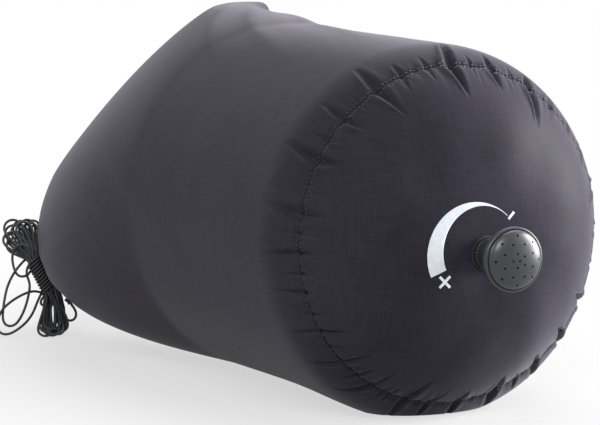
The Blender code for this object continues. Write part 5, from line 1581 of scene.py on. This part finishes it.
def tab_meshes(name, side):
    """A webbing tab and its stitches: flat on an arm of the roll, round the buckle's bar, and back."""
    bar_out = MALE_BASE_LENGTH if side > 0 else -FEMALE_LENGTH
    bar_in = bar_out - side * BUCKLE_BAR_LENGTH
    half, thick = WEBBING_WIDTH / 2, WEBBING_THICKNESS / 2
    half_bar = BUCKLE_BAR_THICKNESS / 2 + PIECE_GAP + thick
    turn_in = bar_in - side * (PIECE_GAP + thick + 0.0006)
    level = ROLL_PLACE + FOLD_LINE * (BUCKLE_LEVEL - thick)
    tip = level + EAR_LINE * side * (ROLL_STRAIGHT - ARM_LENGTH)
    root = level + EAR_LINE * side * (ROLL_STRAIGHT - ARM_LENGTH + WEBBING_OVERLAP)
    lead = bar_out + side * 0.003
    close = half_bar - WEBBING_THICKNESS - PIECE_GAP
    round_bar = np.array([
        (lead, -half_bar), (bar_out, -half_bar), (bar_in, -half_bar), (turn_in, -half_bar * 0.5),
        (turn_in, half_bar * 0.5), (bar_in, half_bar), (bar_out, half_bar), (lead, half_bar * 0.75),
        (lead + side * 0.003, -close)])
    round_bar = BUCKLE_PLACE + round_bar[:, :1] * BUCKLE_ALONG + round_bar[:, 1:] * FOLD_LINE
    line = smooth_line(joined([root, (root + tip) / 2, tip], round_bar), 0.0006)
    share = np.clip(((line - tip) @ BUCKLE_ALONG) * -side / 0.008, 0.0, 1.0)[:, None]
    across = unit(WIDE_LINE * (1 - share) + BUCKLE_ACROSS * share)
    heading = unit(np.gradient(line, axis=0))
    across = unit(across - heading * np.sum(across * heading, axis=1, keepdims=True))
    up = np.cross(heading, across)
    section = rounded_profile([(-half, -thick), (half, -thick), (half, thick), (-half, thick)], 0.00035, 2)
    grid = line[:, None] + section[None, :, :1] * across[:, None] + section[None, :, 1:] * up[:, None]
    uv = crossed(run_along(line), np.append(section[:, 0], section[0, 0]))
    mesh = smoothed(welded(mesh_from_grid(f"webbing_{name}", grid, uv, closed=True, caps=True)), 50)
    return mesh, box_stitches(f"tab_stitches_{name}", root, tip)


def box_stitches(name, root, tip):
    """A box of stitches with a cross in it, where the webbing is sewn to the roll."""
    lift = FOLD_LINE * (WEBBING_THICKNESS / 2 + 0.00008)
    edge = unit(tip - root)
    near, far = root + edge * TAB_STITCH_EDGE + lift, root + edge * TAB_STITCH_END + lift
    wide = WIDE_LINE * (WEBBING_WIDTH / 2 - TAB_STITCH_EDGE)
    a, b, c, d = near - wide, near + wide, far + wide, far - wide
    middle, heading = [], []
    for start, end in ((a, b), (b, c), (c, d), (d, a), (a, c), (b, d)):
        count = max(2, int(round(np.linalg.norm(end - start) / TAB_STITCH_STEP)))
        middle.append(start + (end - start) * (np.arange(count)[:, None] + 0.5) / count)
        heading.append(np.broadcast_to(unit(end - start), (count, 3)))
    middle, heading = np.concatenate(middle), np.concatenate(heading)
    outward = np.broadcast_to(FOLD_LINE, middle.shape)
    return stitch_mesh(name, middle, heading, outward, TAB_STITCH_LENGTH, TAB_STITCH_RADIUS)


# Buckle and the pieces inside, which keep their own shapes

class SHOWERBAG_OT_fittings(bpy.types.Operator):
    """Finish the buckle, the spout, its valve and its seals."""
    bl_idname = "showerbag.fittings"
    bl_label = "Buckle, spout and seals"

    def execute(self, context):
        finishes = (
            (moulded("buckle_black", (0.012, 0.013, 0.015), 0.24, 0.00001, 1200.0),
             ("buckle_female", "buckle_male", "release_arm_upper", "release_arm_lower", "stiffener_strip")),
            (moulded("valve_natural", (0.58, 0.58, 0.56), 0.38), ("spout", "valve_jumper", "rose_spider")),
            (moulded("seal_black", (0.018, 0.018, 0.020), 0.62, 0.00003, 700.0),
             ("inner_gasket", "outer_gasket", "spout_o_ring", "valve_washer")),
            (moulded("seam_film", (0.16, 0.16, 0.17), 0.5, 0.00003, 500.0),
             ("side_seam_tape", "base_patch")))
        for material, names in finishes:
            for name in names:
                NODES[name].data.materials.clear()
                NODES[name].data.materials.append(material)
        return {"FINISHED"}


# Stage

def area_lamp(name, place, target, size, power, colour):
    """A square soft lamp that faces a target."""
    data = bpy.data.lights.new(name, "AREA")
    data.shape = "RECTANGLE"
    data.size, data.size_y = size
    data.energy = power
    data.color = colour
    lamp = linked(name, data)
    lamp.location = place
    lamp.rotation_euler = (Vector(target) - Vector(place)).to_track_quat("-Z", "Y").to_euler()


def seen_rays(tree):
    """One for camera, glossy and transmission rays, zero for the rays that only carry light."""
    path = node(tree, "LightPath")
    gloss = maths(tree, "MAXIMUM", path.outputs["Is Glossy Ray"], path.outputs["Is Transmission Ray"])
    return maths(tree, "MAXIMUM", path.outputs["Is Camera Ray"], gloss)


def shaded_with(tree, share, first, second, output):
    """Mix two shaders by a share and show the result."""
    mix = node(tree, "MixShader", {"Fac": share, 1: first, 2: second})
    tree.links.new(mix.outputs["Shader"], tree.nodes[output].inputs["Surface"])


def floor_paint(colour):
    """Pale floor whose seen colour runs to plain white away from the bag, while its soft shadow stays."""
    paint, tree, shader = new_material("floor_paint", Roughness=0.9, Specular_IOR_Level=0.1,
                                       Base_Color=(*colour, 1.0))
    centred = moved(tree, object_place(tree), Location=(0.0, -0.06, 0.0), Scale=(1.0, 0.6, 1.0))
    far = node(tree, "VectorMath", {0: centred}, operation="LENGTH").outputs["Value"]
    fade = ranged(tree, far, *FLOOR_WHITE, *FLOOR_FADE, interpolation_type="SMOOTHSTEP")
    white = node(tree, "Emission", {"Color": (1.0, 1.0, 1.0, 1.0), "Strength": 1.0}).outputs["Emission"]
    share = maths(tree, "MULTIPLY", fade, seen_rays(tree))
    shaded_with(tree, share, shader.outputs["BSDF"], white, "Material Output")
    return paint


class SHOWERBAG_OT_stage(bpy.types.Operator):
    """Make the pale floor, the soft light and the camera."""
    bl_idname = "showerbag.stage"
    bl_label = "Floor, light and camera"

    def execute(self, context):
        settings = context.scene.showerbag_stage
        scene = context.scene
        scene.view_settings.view_transform = "Standard"
        axes = view_axes()
        camera_data = bpy.data.cameras.new("view")
        camera_data.lens = VIEW_LENS_MM
        camera_data.sensor_width = 36.0
        camera_data.clip_end = 30.0
        camera = linked("view", camera_data)
        place = VIEW_MIDDLE + axes[2] * VIEW_DISTANCE + axes[0] * VIEW_SHIFT[0] + axes[1] * VIEW_SHIFT[1]
        camera.matrix_world = Matrix.Translation(place) @ Matrix(np.stack(axes, axis=-1).tolist()).to_4x4()
        scene.camera = camera

        corners = ((-1, -1), (1, -1), (1, 1), (-1, 1))
        corners = [(x * FLOOR_HALF, y * FLOOR_HALF, FLOOR_LEVEL) for x, y in corners]
        mesh = faced_mesh("floor", corners, [[0, 1, 2, 3]])
        floor = linked("floor", mesh)
        mesh.materials.append(floor_paint(tuple(settings.floor)))

        world = bpy.data.worlds.new("studio")
        scene.world = world
        world.use_nodes = True
        tree = world.node_tree
        ground = tree.nodes["Background"]
        ground.inputs["Color"].default_value = (1.0, 1.0, 1.0, 1.0)
        ground.inputs["Strength"].default_value = settings.sky
        white = node(tree, "Background", {"Color": (1.0, 1.0, 1.0, 1.0), "Strength": 1.0})
        shaded_with(tree, seen_rays(tree), ground.outputs["Background"], white.outputs["Background"],
                    "World Output")

        powers = (settings.key, settings.top, settings.fill, settings.fill * SIDE_SHARE)
        for (name, lamp_place, size), power in zip(LAMPS, powers):
            area_lamp(name, lamp_place, LAMP_TARGET, size, power, LAMP_TONE)
        return {"FINISHED"}


class SHOWERBAG_PT_panel(bpy.types.Panel):
    """Buttons and settings of the shower bag."""
    bl_label = "Camp shower bag"
    bl_idname = "SHOWERBAG_PT_panel"
    bl_space_type = "VIEW_3D"
    bl_region_type = "UI"
    bl_category = "Shower bag"

    def draw(self, context):
        scene = context.scene
        groups = ((scene.showerbag_cord, ("showerbag.cord",)),
                  (scene.showerbag_cloth, ("showerbag.bag", "showerbag.stitching", "showerbag.closure")),
                  (scene.showerbag_head, ("showerbag.scale", "showerbag.head", "showerbag.fittings")),
                  (scene.showerbag_stage, ("showerbag.stage",)))
        for settings, operators in groups:
            box = self.layout.box()
            for name in settings.__annotations__:
                box.prop(settings, name)
            for operator in operators:
                box.operator(operator)


SETTINGS = (("showerbag_cloth", ClothSettings), ("showerbag_head", HeadSettings),
            ("showerbag_cord", CordSettings), ("showerbag_stage", StageSettings))
OPERATORS = (SHOWERBAG_OT_stage, SHOWERBAG_OT_cord, SHOWERBAG_OT_bag, SHOWERBAG_OT_stitching,
             SHOWERBAG_OT_scale, SHOWERBAG_OT_head, SHOWERBAG_OT_closure, SHOWERBAG_OT_fittings)


def register():
    """Register the settings, the operators and the panel."""
    for name, group in SETTINGS:
        bpy.utils.register_class(group)
        setattr(bpy.types.Scene, name, bpy.props.PointerProperty(type=group))
    for operator in OPERATORS:
        bpy.utils.register_class(operator)
    bpy.utils.register_class(SHOWERBAG_PT_panel)


def unregister():
    """Take the panel, the operators and the settings away again."""
    bpy.utils.unregister_class(SHOWERBAG_PT_panel)
    for operator in reversed(OPERATORS):
        bpy.utils.unregister_class(operator)
    for name, group in reversed(SETTINGS):
        delattr(bpy.types.Scene, name)
        bpy.utils.unregister_class(group)


def main():
    """Run every operator in order."""
    register()
    for operator in OPERATORS:
        getattr(bpy.ops.showerbag, operator.bl_idname.split(".")[1])()


if __name__ == "__main__":
    main()
